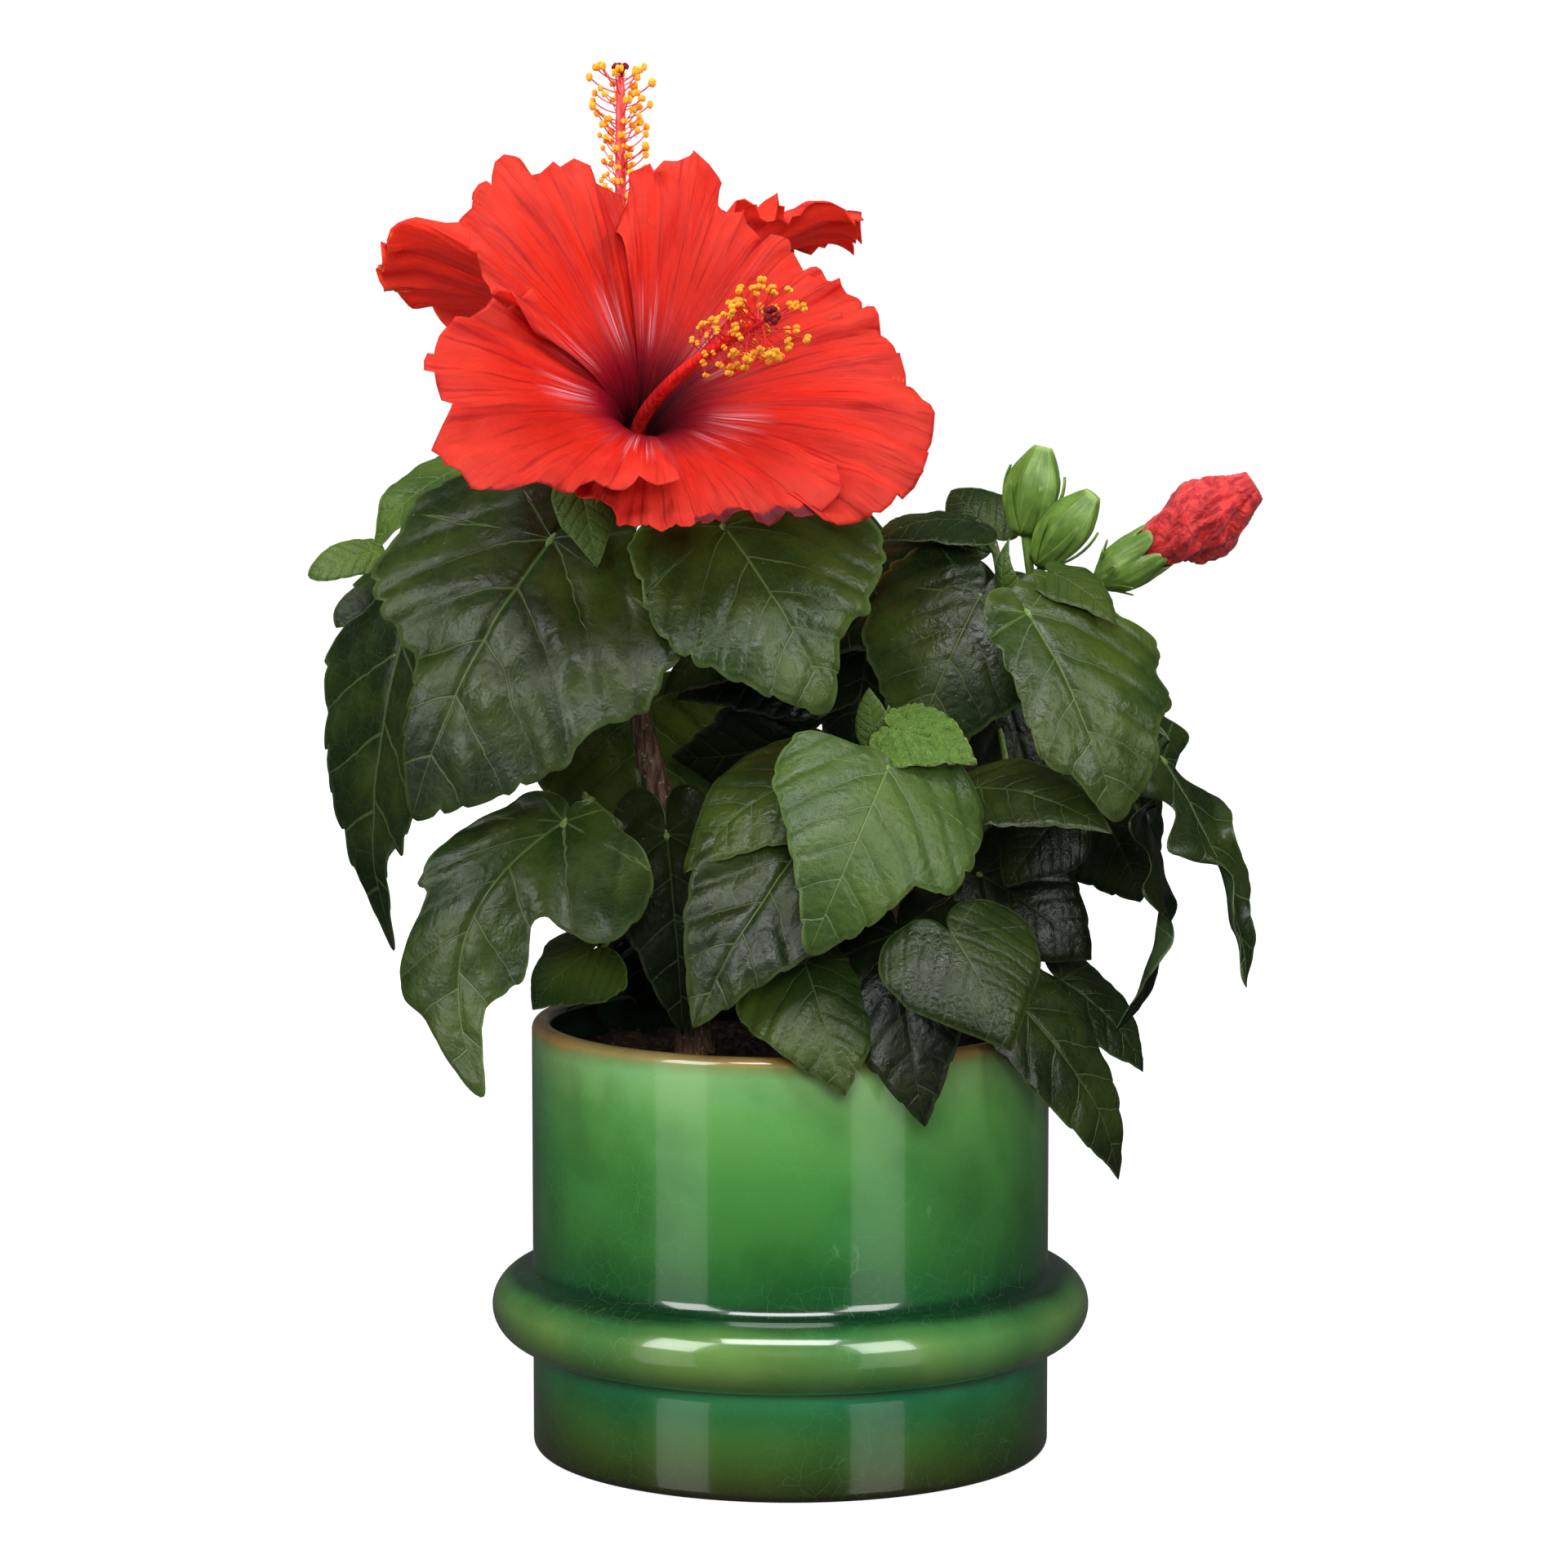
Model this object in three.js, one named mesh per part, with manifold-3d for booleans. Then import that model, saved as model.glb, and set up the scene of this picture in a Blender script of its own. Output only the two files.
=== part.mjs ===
// Potted hibiscus shrub: a glazed planter with a rounded ring, its potting mix, woody stems that fork into
// boughs, foliage in separate masses, two open blooms, a furled bloom and green buds.
// Millimetres, +Z up. The origin is the centre of the planter's flat underside, and -Y is the front.
import * as THREE from "three";
import { mergeVertices } from "three/addons/utils/BufferGeometryUtils.js";
import Module from "manifold-3d";

const wasm = await Module();
wasm.setup();

// ---------------------------------------------------------------- driving dimensions
const GAP = 0.3; // clearance between pieces that touch
const POT = {
  radius: 76,
  height: 128,
  wall: 6,
  floor: 9,
  edge: 3, // rounding of the lip and of the foot
  ringHeight: 43, // height of the ring's middle
  ringReach: 88, // outer radius of the ring
  ringHalf: 11, // half of the ring's height
  segments: 32,
};
const SOIL_LEVEL = 114;
const STEM_FOOT = SOIL_LEVEL + GAP;

const LEAF = {
  thick: 1.2,
  // Outline of a blade one unit long, from the tip round to the notch at the stalk: angle, reach.
  outline: [
    [0, 1],
    [11, 0.83],
    [26, 0.68],
    [48, 0.575],
    [75, 0.5],
    [105, 0.45],
    [135, 0.4],
    [160, 0.32],
    [174, 0.18],
    [180, 0.06],
  ],
  spokes: [0, 17, 44, 86, 138, 180],
  rings: [0.55, 1],
  naturalWidth: 0.97, // widest part of that outline
};

const UP = new THREE.Vector3(0, 0, 1);
const radians = THREE.MathUtils.degToRad;
const vector = (p) => new THREE.Vector3(...p);
const mix = (a, b, t) => a + (b - a) * t;

// ---------------------------------------------------------------- solids
// A closed solid from rings of points that follow each other, capped at both ends.
function skin(rings) {
  const n = rings[0].length;
  const last = (rings.length - 1) * n;
  const points = rings.flat();
  const faces = [];
  for (let a = 0; a < last; a++) {
    const b = a - (a % n) + ((a + 1) % n);
    faces.push(a, b, b + n, a, b + n, a + n);
  }
  const middle = (ring) => ring.reduce((sum, p) => sum.add(p), new THREE.Vector3()).divideScalar(n);
  points.push(middle(rings[0]), middle(rings.at(-1)));
  for (let i = 0; i < n; i++) {
    const j = (i + 1) % n;
    faces.push(points.length - 2, j, i, points.length - 1, last + i, last + j);
  }
  return geometryOf(points, faces);
}

function geometryOf(points, faces) {
  return new THREE.BufferGeometry().setFromPoints(points).setIndex(faces);
}

// A thin closed solid: a surface, and a copy of it one thickness behind, joined round their edge.
function sheet(points, faces, edge, thick) {
  const front = geometryOf(points, faces);
  front.computeVertexNormals();
  const normals = front.getAttribute("normal");
  const n = points.length;
  const back = points.map((p, i) => {
    return new THREE.Vector3().fromBufferAttribute(normals, i).multiplyScalar(-thick).add(p);
  });
  const closed = [...faces];
  for (let i = 0; i < faces.length; i += 3) {
    closed.push(n + faces[i], n + faces[i + 2], n + faces[i + 1]);
  }
  edge.forEach((a, i) => {
    const b = edge[(i + 1) % edge.length];
    closed.push(a, n + a, n + b, a, n + b, b);
  });
  return geometryOf([...points, ...back], closed);
}

// A round or fluted limb along a smooth line. radiusAt takes the share of its length and the angle round it.
// With a ground level, its foot is a flat cut there.
function limb(line, radiusAt, sides, steps, ground = null) {
  const curve = new THREE.CatmullRomCurve3(line.map(vector));
  const { normals, binormals } = curve.computeFrenetFrames(steps, false);
  const rings = normals.map((normal, k) => {
    const centre = curve.getPointAt(k / steps);
    return Array.from({ length: sides }, (_, i) => {
      const turn = (2 * Math.PI * i) / sides;
      const r = radiusAt(k / steps, turn);
      return centre
        .clone()
        .addScaledVector(normal, r * Math.cos(turn))
        .addScaledVector(binormals[k], r * Math.sin(turn));
    });
  });
  if (ground !== null) rings[0].forEach((p) => p.setZ(ground));
  return skin(rings);
}

function solidOf(geometry) {
  const bare = geometry.clone();
  bare.deleteAttribute("normal");
  bare.deleteAttribute("uv");
  const merged = mergeVertices(bare, 1e-4);
  const vertProperties = merged.getAttribute("position").array;
  const triVerts = new Uint32Array(merged.index.array);
  return new wasm.Manifold(new wasm.Mesh({ numProp: 3, vertProperties, triVerts }));
}

function fused(geometries) {
  const whole = geometries.map(solidOf).reduce((sum, solid) => sum.add(solid));
  const { vertProperties, triVerts } = whole.getMesh();
  return new THREE.BufferGeometry()
    .setAttribute("position", new THREE.BufferAttribute(vertProperties, 3))
    .setIndex(new THREE.BufferAttribute(triVerts, 1));
}

const root = new THREE.Group();
function addPiece(name, geometry, material) {
  const mesh = new THREE.Mesh(geometry, material);
  mesh.name = name;
  root.add(mesh);
}

// ---------------------------------------------------------------- materials
const finish = (color, roughness) => new THREE.MeshStandardMaterial({ color, roughness, metalness: 0 });
const GLAZE = finish(0x2f7a3c, 0.12);
const MIX = finish(0x1c1512, 0.95);
const BARK = finish(0x5b4334, 0.85);
const FOLIAGE = finish(0x2c4a23, 0.4);
const CALYX = finish(0x4f7a33, 0.5);
const PETAL = finish(0xe0281c, 0.55);
const COLUMN = finish(0xd8321f, 0.5);

// ---------------------------------------------------------------- planter and potting mix
// One profile, turned: up the outside over the ring, over the lip and down the inside to the floor.
function planter() {
  const { radius: r, height: h, wall, floor, edge, ringHeight, ringReach, ringHalf } = POT;
  const profile = [[0, 0]];
  const arc = (x, y, size, from, to, steps, squash = 1) => {
    for (let i = 0; i <= steps; i++) {
      const turn = radians(mix(from, to, i / steps));
      profile.push([x + size * squash * Math.cos(turn), y + size * Math.sin(turn)]);
    }
  };
  arc(r - edge, edge, edge, -90, 0, 2);
  const ringDepth = ringReach - r;
  arc(r, ringHeight, ringHalf, -90, 90, 6, ringDepth / ringHalf);
  const lip = wall / 2;
  arc(r - lip, h - lip, lip, 0, 180, 4);
  arc(r - wall - edge, floor + edge, edge, 0, -90, 1);
  profile.push([0, floor]);
  return new THREE.LatheGeometry(
    profile.map(([x, y]) => new THREE.Vector2(x, y)),
    POT.segments,
  ).rotateX(Math.PI / 2);
}

function pottingMix() {
  const r = POT.radius - POT.wall - GAP;
  const foot = POT.floor + GAP;
  const profile = [
    [0, foot],
    [r - POT.edge - 1, foot],
    [r, foot + POT.edge + 1],
    [r, SOIL_LEVEL],
    [0, SOIL_LEVEL],
  ];
  return new THREE.LatheGeometry(
    profile.map(([x, y]) => new THREE.Vector2(x, y)),
    POT.segments,
  ).rotateX(Math.PI / 2);
}

addPiece("planter", planter(), GLAZE);
addPiece("potting_mix", pottingMix(), MIX);

// ---------------------------------------------------------------- stems and boughs
const LIMBS = {};
const LIMB_SIDES = 7;
const LIMB_STEPS = 6;
const FLARE = { share: 0.14, extra: 0.5 };
const SPROUT = 4; // length over which a side shoot still runs straight out of its parent

function faceVector([turn, rise]) {
  const [t, r] = [radians(turn), radians(rise)];
  return new THREE.Vector3(Math.sin(t) * Math.cos(r), -Math.cos(t) * Math.cos(r), Math.sin(r));
}

// The first points of a limb that starts one gap clear of its parent: on from its tip (at 1), or straight
// out of its side at a share of its length, turned from the front towards +X.
function sprout(parent, at, turn) {
  const { line, radii } = LIMBS[parent];
  const curve = new THREE.CatmullRomCurve3(line.map(vector));
  const centre = curve.getPointAt(at);
  const tangent = curve.getTangentAt(at);
  if (at === 1) {
    return [GAP, GAP + SPROUT].map((reach) => centre.clone().addScaledVector(tangent, reach).toArray());
  }
  const out = faceVector([turn, 0]);
  out.addScaledVector(tangent, -out.dot(tangent)).normalize();
  const foot = centre.addScaledVector(out, mix(radii[0], radii[1], at) + GAP);
  return [foot.toArray(), foot.clone().addScaledVector(out, SPROUT).toArray()];
}

function limbGeometry({ line, radii }, sides = LIMB_SIDES, steps = LIMB_STEPS) {
  const standing = line[0][2] === STEM_FOOT;
  const flare = (share) => (standing ? FLARE.extra * Math.max(0, 1 - share / FLARE.share) ** 2 : 0);
  const radiusAt = (share) => mix(radii[0], radii[1], share) * (1 + flare(share));
  return limb(line, radiusAt, sides, steps, standing ? STEM_FOOT : null);
}

function addLimb(name, line, radii, material = BARK) {
  LIMBS[name] = { line, radii };
  addPiece(name, limbGeometry(LIMBS[name]), material);
}

addLimb("stem_left", [[-28, 6, STEM_FOOT], [-33, 3, 172], [-43, 1, 212], [-51, 1, 258]], [4.6, 3]);
addLimb("stem_right", [[22, 2, STEM_FOOT], [32, 2, 155], [48, 0, 205], [60, -3, 246]], [4.2, 2.6]);
addLimb("stem_back", [[4, 30, STEM_FOOT], [6, 38, 155], [2, 46, 205], [-2, 50, 238]], [4, 2.4]);
addLimb("bough_centre", [...sprout("stem_right", 0.3, -25), [24, -26, 172], [22, -36, 190]], [2.4, 1.8]);
addLimb("bough_low_front", [...sprout("stem_right", 0.17, 10), [28, -26, 142], [30, -42, 148]], [2.3, 1.7]);
addLimb("bough_right", [...sprout("stem_right", 0.68, 95), [70, 2, 210], [86, 0, 216]], [2.2, 1.6]);

// ---------------------------------------------------------------- leaves
// joint: where the blade meets its stalk. tip: where it ends. face: where its upper side looks, turned from
// the front towards +X, then raised, in degrees. arch: how far its middle stands out; cup: how far its sides
// fall back; bow: how far its middle lies to its left; hook: how far its tip falls back. All four are shares
// of its length. notches: angle at which the outline falls in (or swells, when negative), by what share, and
// over what spread.
const leaf = (joint, tip, width, face, bends = {}) => {
  return { joint, tip, width, face, arch: 0.08, cup: 0.1, bow: 0, hook: 0.05, notches: [], ...bends };
};

// The blade's own directions: along it, out of its upper side, and across it.
function bladeAxes({ joint, tip, face }) {
  const along = vector(tip).sub(vector(joint));
  const length = along.length();
  along.normalize();
  const out = faceVector(face);
  out.addScaledVector(along, -out.dot(along)).normalize();
  return { length, along, out, across: new THREE.Vector3().crossVectors(along, out) };
}

// A point of the bent blade: s along it and t across it, both as shares of its length.
function bladePoint(shape, axes, s, t) {
  const rise = s > 0 ? 4 * s * (1 - s) : 4 * s;
  const bowed = s > 0 ? shape.bow * 4 * s * (1 - s) : 0;
  const out = shape.arch * rise - shape.cup * 4 * t * t - shape.hook * Math.max(0, s - 0.5) ** 2 * 4;
  return vector(shape.joint)
    .addScaledVector(axes.along, s * axes.length)
    .addScaledVector(axes.across, (t + bowed) * axes.length)
    .addScaledVector(axes.out, out * axes.length);
}

function outlineReach(angle) {
  const points = LEAF.outline;
  const k = points.findIndex(([a]) => a >= angle);
  if (k <= 0) return points[0][1];
  const [[a0, r0], [a1, r1]] = [points[k - 1], points[k]];
  return mix(r0, r1, (angle - a0) / (a1 - a0));
}

function bladeGeometry(shape) {
  const axes = bladeAxes(shape);
  const widen = shape.width / (axes.length * LEAF.naturalWidth);
  const spokes = [...LEAF.spokes.map((a) => -a), ...LEAF.spokes.slice(1, -1).reverse()];
  const points = [bladePoint(shape, axes, 0, 0)];
  for (const ring of LEAF.rings) {
    for (const angle of spokes) {
      const fall = ([at, depth, spread]) => 1 - depth * Math.exp(-(((angle - at) / spread) ** 2));
      const kept = shape.notches.reduce((share, notch) => share * fall(notch), 1);
      const reach = ring * outlineReach(Math.abs(angle)) * kept;
      const turn = radians(angle);
      points.push(bladePoint(shape, axes, reach * Math.cos(turn), reach * Math.sin(turn) * widen));
    }
  }
  const n = spokes.length;
  const faces = [];
  for (let i = 0; i < n; i++) {
    const j = (i + 1) % n;
    faces.push(0, 1 + i, 1 + j);
    for (let ring = 0; ring + 1 < LEAF.rings.length; ring++) {
      const [a, b] = [1 + ring * n + i, 1 + ring * n + j];
      faces.push(a, a + n, b + n, a, b + n, b);
    }
  }
  const edge = spokes.map((_, i) => points.length - n + i);
  return sheet(points, faces, edge, LEAF.thick);
}

// The stalk leaves the shoot at the point nearest to the joint, or a little below it, rises outwards, and
// comes up to the joint from behind the blade.
const STALK = { radius: 1.2, sides: 3, steps: 3, lower: 14, spring: 0.28, bend: 0.35, sink: 0.6 };
function stalkGeometry(shape, shoot) {
  const axes = bladeAxes(shape);
  const joint = vector(shape.joint);
  const aim = joint.clone().addScaledVector(UP, -STALK.lower);
  const places = Array.from({ length: 16 }, (_, i) => shoot.getPointAt(mix(0.25, 1, i / 15)));
  const foot = places.reduce((best, p) => (p.distanceTo(aim) < best.distanceTo(aim) ? p : best));
  const end = joint.clone().addScaledVector(axes.out, -LEAF.thick * STALK.sink);
  const span = foot.distanceTo(end);
  const rise = end.clone().sub(foot).normalize().addScaledVector(UP, 0.5);
  const first = foot.clone().addScaledVector(rise, span * STALK.spring);
  const arrive = axes.along.clone().multiplyScalar(0.5).add(axes.out).normalize();
  const last = end.clone().addScaledVector(arrive, -span * STALK.bend);
  const curve = new THREE.CubicBezierCurve3(foot, first, last, end);
  const line = curve.getPoints(STALK.steps).map((p) => p.toArray());
  return limb(line, () => STALK.radius, STALK.sides, STALK.steps);
}

// ---------------------------------------------------------------- foliage masses
// A mass is one shoot with stalked leaves along it.
function addMass(name, line, leaves) {
  const shoot = new THREE.CatmullRomCurve3(line.map(vector));
  const blades = leaves.flatMap((shape) => [stalkGeometry(shape, shoot), bladeGeometry(shape)]);
  addPiece(name, fused([limbGeometry({ line, radii: [1.9, 1.2] }, 5, 4), ...blades]), FOLIAGE);
}

addMass("foliage_upper_left", [...sprout("stem_left", 1), [-62, -4, 272], [-80, -6, 290]], [
  leaf([-68, -42, 272], [-108, -64, 196], 82, [-18, 22], { arch: 0.1, cup: 0.06 }),
  leaf([-59, -56, 287], [-54, -67, 266], 18, [0, 30]),
  leaf([-94, 8, 290], [-138, -6, 263], 36, [-30, 60], { hook: 0.1 }),
  leaf([-106, 0, 262], [-122, 8, 146], 53, [-50, 10], { arch: 0.1, cup: -0.08, bow: -0.03 }),
  leaf([-92, 22, 276], [-124, 30, 236], 40, [-60, 40]),
]);
addMass("foliage_upper_middle", [...sprout("stem_left", 0.9, 60), [-38, -14, 256], [-28, -24, 266]], [
  leaf([-19, -50, 276], [12, -72, 228], 73, [8, 28], { cup: 0.08, bow: -0.08 }),
  leaf([2, -6, 252], [-38, -2, 224], 46, [0, 50]),
]);
addMass("foliage_low_left", [...sprout("stem_left", 0.45, -40), [-52, -14, 188], [-60, -20, 196]], [
  leaf([-65, -34, 190], [-85, -48, 112], 80, [-12, 35], {
    bow: 0.28,
    hook: -0.1,
    notches: [[45, 0.4, 30], [-38, 0.3, 10], [-64, -0.2, 16]],
  }),
  leaf([-59, -6, 148], [-76, -10, 132], 34, [-20, 50]),
]);
addMass("foliage_low_back_left", [...sprout("stem_left", 0.3, 180), [-40, 20, 170], [-44, 28, 186]], [
  leaf([-41, 25, 169], [-44, 40, 122], 46, [0, 10]),
  leaf([-46, 35, 213], [-40, 27, 163], 54, [0, 20]),
]);
addMass("foliage_middle", [...sprout("stem_right", 0.55, -80), [28, 0, 200], [14, 2, 208]], [
  leaf([8, 5, 235], [-34, 2, 222], 46, [0, 50]),
  leaf([3, 15, 209], [-35, 15, 202], 42, [0, -30]),
]);
addMass("foliage_centre", [...sprout("bough_centre", 1), [21, -48, 200], [22, -52, 208]], [
  leaf([27, -76, 210], [5, -99, 162], 58, [10, 30]),
  leaf([4, -50, 206], [-31, -61, 180], 40, [-20, 45]),
  leaf([10, -56, 195], [-28, -82, 139], 60, [-10, 25]),
  leaf([30, -66, 217], [51, -74, 210], 22, [0, 60]),
  leaf([24, -50, 216], [22, -47, 230], 12, [-20, 0]),
]);
addMass("foliage_upper_right", [...sprout("stem_right", 1), [61, -4, 258], [59, -4, 268]], [
  leaf([67, -55, 252], [92, -75, 196], 64, [15, 30], { bow: -0.08 }),
  leaf([78, -40, 262], [96, -55, 250], 26, [20, 60]),
  leaf([54, -28, 254], [33, -43, 208], 52, [-5, 25]),
  leaf([50, -10, 275], [24, -20, 270], 32, [0, 75]),
  leaf([58, 4, 270], [47, 18, 282], 26, [0, 20]),
  leaf([44, -12, 262], [10, -26, 238], 48, [-10, 40]),
]);
addMass("foliage_right", [...sprout("bough_right", 1), [93, -2, 215], [99, -5, 208]], [
  leaf([108, -15, 206], [136, -30, 143], 32, [60, 10], { arch: 0.02, bow: -0.06, hook: 0 }),
  leaf([104, -10, 188], [102, -20, 126], 30, [80, 0]),
  leaf([90, 10, 190], [104, 12, 160], 44, [30, -10]),
]);
addMass("foliage_middle_right", [...sprout("stem_right", 0.5, 60), [62, -10, 190], [66, -14, 194]], [
  leaf([53, -50, 202], [90, -72, 193], 34, [0, 55]),
  leaf([76, -30, 190], [61, -40, 172], 28, [0, 20]),
  leaf([55, -14, 172], [88, -18, 148], 50, [10, 30]),
]);
addMass("foliage_low_front", [...sprout("bough_low_front", 1), [29, -52, 152], [28, -58, 156]], [
  leaf([45, -88, 165], [61, -102, 135], 48, [10, 40]),
  leaf([30, -64, 162], [37, -90, 112], 46, [-10, 20]),
  leaf([4, -65, 154], [15, -88, 120], 46, [0, 25]),
]);
addMass("foliage_low_right", [...sprout("stem_right", 0.12, 80), [46, -8, 140], [56, -14, 143]], [
  leaf([67, -42, 137], [97, -34, 86], 36, [30, 40]),
  leaf([79, -14, 141], [104, -16, 115], 32, [30, 50]),
]);

// ---------------------------------------------------------------- masses at the back
// Leaves set round the shoot by the golden angle, inside a fan that looks away from the front. Each hangs
// outwards, and the higher ones stand further out.
const FAN = { turn: 137.5, stalk: 24, drop: 0.86, lift: 6 };
function fanLeaves({ base, looks, spread, count, length, rise }) {
  return Array.from({ length: count }, (_, k) => {
    const share = (0.5 + (k * FAN.turn) / 360) % 1;
    const turn = looks + spread * (share - 0.5);
    const out = faceVector([turn, 0]);
    const size = length * (1 - 0.25 * (k / count));
    const joint = vector(base)
      .addScaledVector(out, FAN.stalk * mix(0.7, 1.4, k / count))
      .addScaledVector(UP, (rise * k) / count + FAN.lift);
    const tip = joint.clone().addScaledVector(out, size * 0.42).addScaledVector(UP, -size * FAN.drop);
    return leaf(joint.toArray(), tip.toArray(), size * 0.75, [turn, 28]);
  });
}

function addFan(name, [parent, at, turn], rest, fan) {
  addMass(name, [...sprout(parent, at, turn), ...rest], fanLeaves({ base: rest.at(-1), ...fan }));
}

addFan("foliage_back_top", ["stem_back", 1], [[-5, 58, 250], [-8, 62, 258]], {
  looks: 172, spread: 190, count: 4, length: 72, rise: 22,
});
addFan("foliage_back_low", ["stem_back", 0.4, 180], [[6, 58, 168], [6, 64, 178]], {
  looks: 180, spread: 200, count: 3, length: 64, rise: 20,
});
addFan("foliage_back_left", ["stem_left", 0.8, 195], [[-58, 30, 238], [-62, 36, 242]], {
  looks: 232, spread: 110, count: 3, length: 64, rise: 18,
});
addFan("foliage_back_right", ["stem_right", 0.6, 150], [[52, 22, 214], [56, 30, 222]], {
  looks: 130, spread: 130, count: 3, length: 66, rise: 18,
});

// ---------------------------------------------------------------- blooms
// Lengths along a bloom's axis are measured from its throat.
const BLOOM = {
  thick: 1.1,
  tube: [[2.2, -25.2], [4.8, -13], [12, -1]], // inner radius, height
  face: [[12, -1], [40, 13], [62, 18], [90, 15]], // radius, height of the petals' middle
  rings: [0.38, 0.7, 1],
  across: [-1, -0.65, 0, 0.65, 1],
  step: 4, // degrees over which one petal's edge passes over the next
  lift: 2.6, // how far one edge of a petal stands above its middle, and the other below
  round: 0.24, // share by which a petal is shorter at its edges
  foot: -44,
  columnFoot: -24.8,
};

// Petal: it runs from one angle to the next, reaches this far, and its rim curls up by this much.
const FRONT_PETALS = [
  [-50, 22, 78, 0],
  [22, 86, 76, 2],
  [86, 151, 79, 2],
  [151, 250, 70, 6],
  [250, 310, 63, -6],
];
const BACK_PETALS = [
  [-36, 36, 77, 11],
  [36, 108, 75, 12],
  [108, 180, 77, 10],
  [180, 252, 75, 12],
  [252, 324, 76, 9],
];

function petalHeight(radius) {
  const points = BLOOM.face;
  const k = Math.max(1, points.findIndex(([r]) => r >= radius));
  const [[r0, h0], [r1, h1]] = [points[k - 1], points[k]];
  return mix(h0, h1, (radius - r0) / (r1 - r0));
}

function corollaGeometry(petals) {
  const spokes = petals.flatMap(([from, to, reach, curl]) => {
    const turn = (v) => radians(mix(from, to - BLOOM.step, (v + 1) / 2));
    return BLOOM.across.map((v) => ({ angle: turn(v), v, reach, curl }));
  });
  const at = (radius, angle, height) => {
    return new THREE.Vector3(radius * Math.cos(angle), radius * Math.sin(angle), height);
  };
  const points = [new THREE.Vector3(0, 0, BLOOM.tube[0][1])];
  for (const [radius, height] of BLOOM.tube) {
    points.push(...spokes.map(({ angle }) => at(radius, angle, height)));
  }
  for (const u of BLOOM.rings) {
    for (const { angle, v, reach, curl } of spokes) {
      const inner = BLOOM.tube.at(-1)[0];
      const radius = inner + (reach * (1 - BLOOM.round * v ** 4) - inner) * u;
      const raised = curl * u * u + BLOOM.lift * v * Math.min(1, u * 1.6);
      points.push(at(radius, angle, petalHeight(radius) + raised));
    }
  }
  const n = spokes.length;
  const faces = [];
  for (let i = 0; i < n; i++) faces.push(0, 1 + i, 1 + ((i + 1) % n));
  for (let a = 1; a < points.length - n; a++) {
    const b = (a - 1) % n === n - 1 ? a + 1 - n : a + 1;
    faces.push(a, a + n, b + n, a, b + n, b);
  }
  const edge = spokes.map((_, i) => points.length - n + i);
  return sheet(points, faces, edge, BLOOM.thick);
}

// Five-toothed cup round the tube: up its outside and down its inside.
function calyxGeometry() {
  const outside = [[2, BLOOM.foot + GAP], [5.6, -40], [7.8, -32], [8.5, -24]];
  const teeth = { radius: 11.5, height: -11, notchRadius: 8.7, notchHeight: -20, wall: 0.9 };
  const inside = [[6.4, -24], [5, -26.7]];
  const sides = 10;
  const round = (radiusAndHeight) => {
    return Array.from({ length: sides }, (_, i) => {
      const [radius, height] = radiusAndHeight(i);
      const turn = (2 * Math.PI * i) / sides;
      return new THREE.Vector3(radius * Math.cos(turn), radius * Math.sin(turn), height);
    });
  };
  const { radius, height, notchRadius, notchHeight, wall } = teeth;
  const rim = (inset) => (i) => (i % 2 ? [notchRadius - inset, notchHeight] : [radius - inset, height]);
  const rings = [
    ...outside.map((p) => round(() => p)),
    round(rim(0)),
    round(rim(wall)),
    ...inside.map((p) => round(() => p)),
  ];
  return skin(rings);
}

// Fused column, stamens set round its outer half by the golden angle, and five stigmas at its end.
const COLUMN_SHAPE = {
  radii: [2, 1.2],
  stamens: 10,
  from: 0.5, // share of the column where the stamens begin
  filament: [7, 10],
  hair: 0.5,
  anther: 1.5,
  stigmas: 5,
  stigma: 7,
};

function columnGeometry(line) {
  const { radii, stamens, from, filament, hair, anther, stigmas, stigma } = COLUMN_SHAPE;
  const curve = new THREE.CatmullRomCurve3(line.map(vector));
  const parts = [limb(line, (share) => mix(...radii, share), 6, 5)];
  const addHair = (share, turn, length, forward) => {
    const foot = curve.getPointAt(share);
    const along = curve.getTangentAt(share);
    const side = new THREE.Vector3().crossVectors(along, UP).normalize().applyAxisAngle(along, turn);
    const end = foot.clone().addScaledVector(side, length).addScaledVector(along, forward);
    const line = [foot.toArray(), foot.clone().lerp(end, 0.8).toArray(), end.toArray()];
    parts.push(limb(line, (at) => (at > 0.9 ? anther : hair), 3, 2));
  };
  for (let k = 0; k < stamens; k++) {
    const share = mix(from, 0.96, k / (stamens - 1));
    addHair(share, radians(137.5 * k), mix(...filament, share), 3);
  }
  for (let k = 0; k < stigmas; k++) addHair(0.99, (2 * Math.PI * k) / stigmas, stigma * 0.6, stigma);
  return fused(parts);
}

function bloomFrame(throat, axis) {
  const out = vector(axis).normalize();
  const right = new THREE.Vector3().crossVectors(UP, out).normalize();
  const up = new THREE.Vector3().crossVectors(out, right);
  return new THREE.Matrix4().makeBasis(right, up, out).setPosition(...throat);
}

const place = (frame, height) => new THREE.Vector3(0, 0, height).applyMatrix4(frame).toArray();

function addBloom(end, throat, axis, petals, columnRest) {
  const frame = bloomFrame(throat, axis);
  addPiece(`corolla_${end}`, corollaGeometry(petals).applyMatrix4(frame), PETAL);
  addPiece(`calyx_${end}`, calyxGeometry().applyMatrix4(frame), CALYX);
  const columnLine = [place(frame, BLOOM.columnFoot), place(frame, -6), ...columnRest];
  addPiece(`column_${end}`, columnGeometry(columnLine), COLUMN);
  return [place(frame, BLOOM.foot - SPROUT), place(frame, BLOOM.foot)];
}

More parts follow.
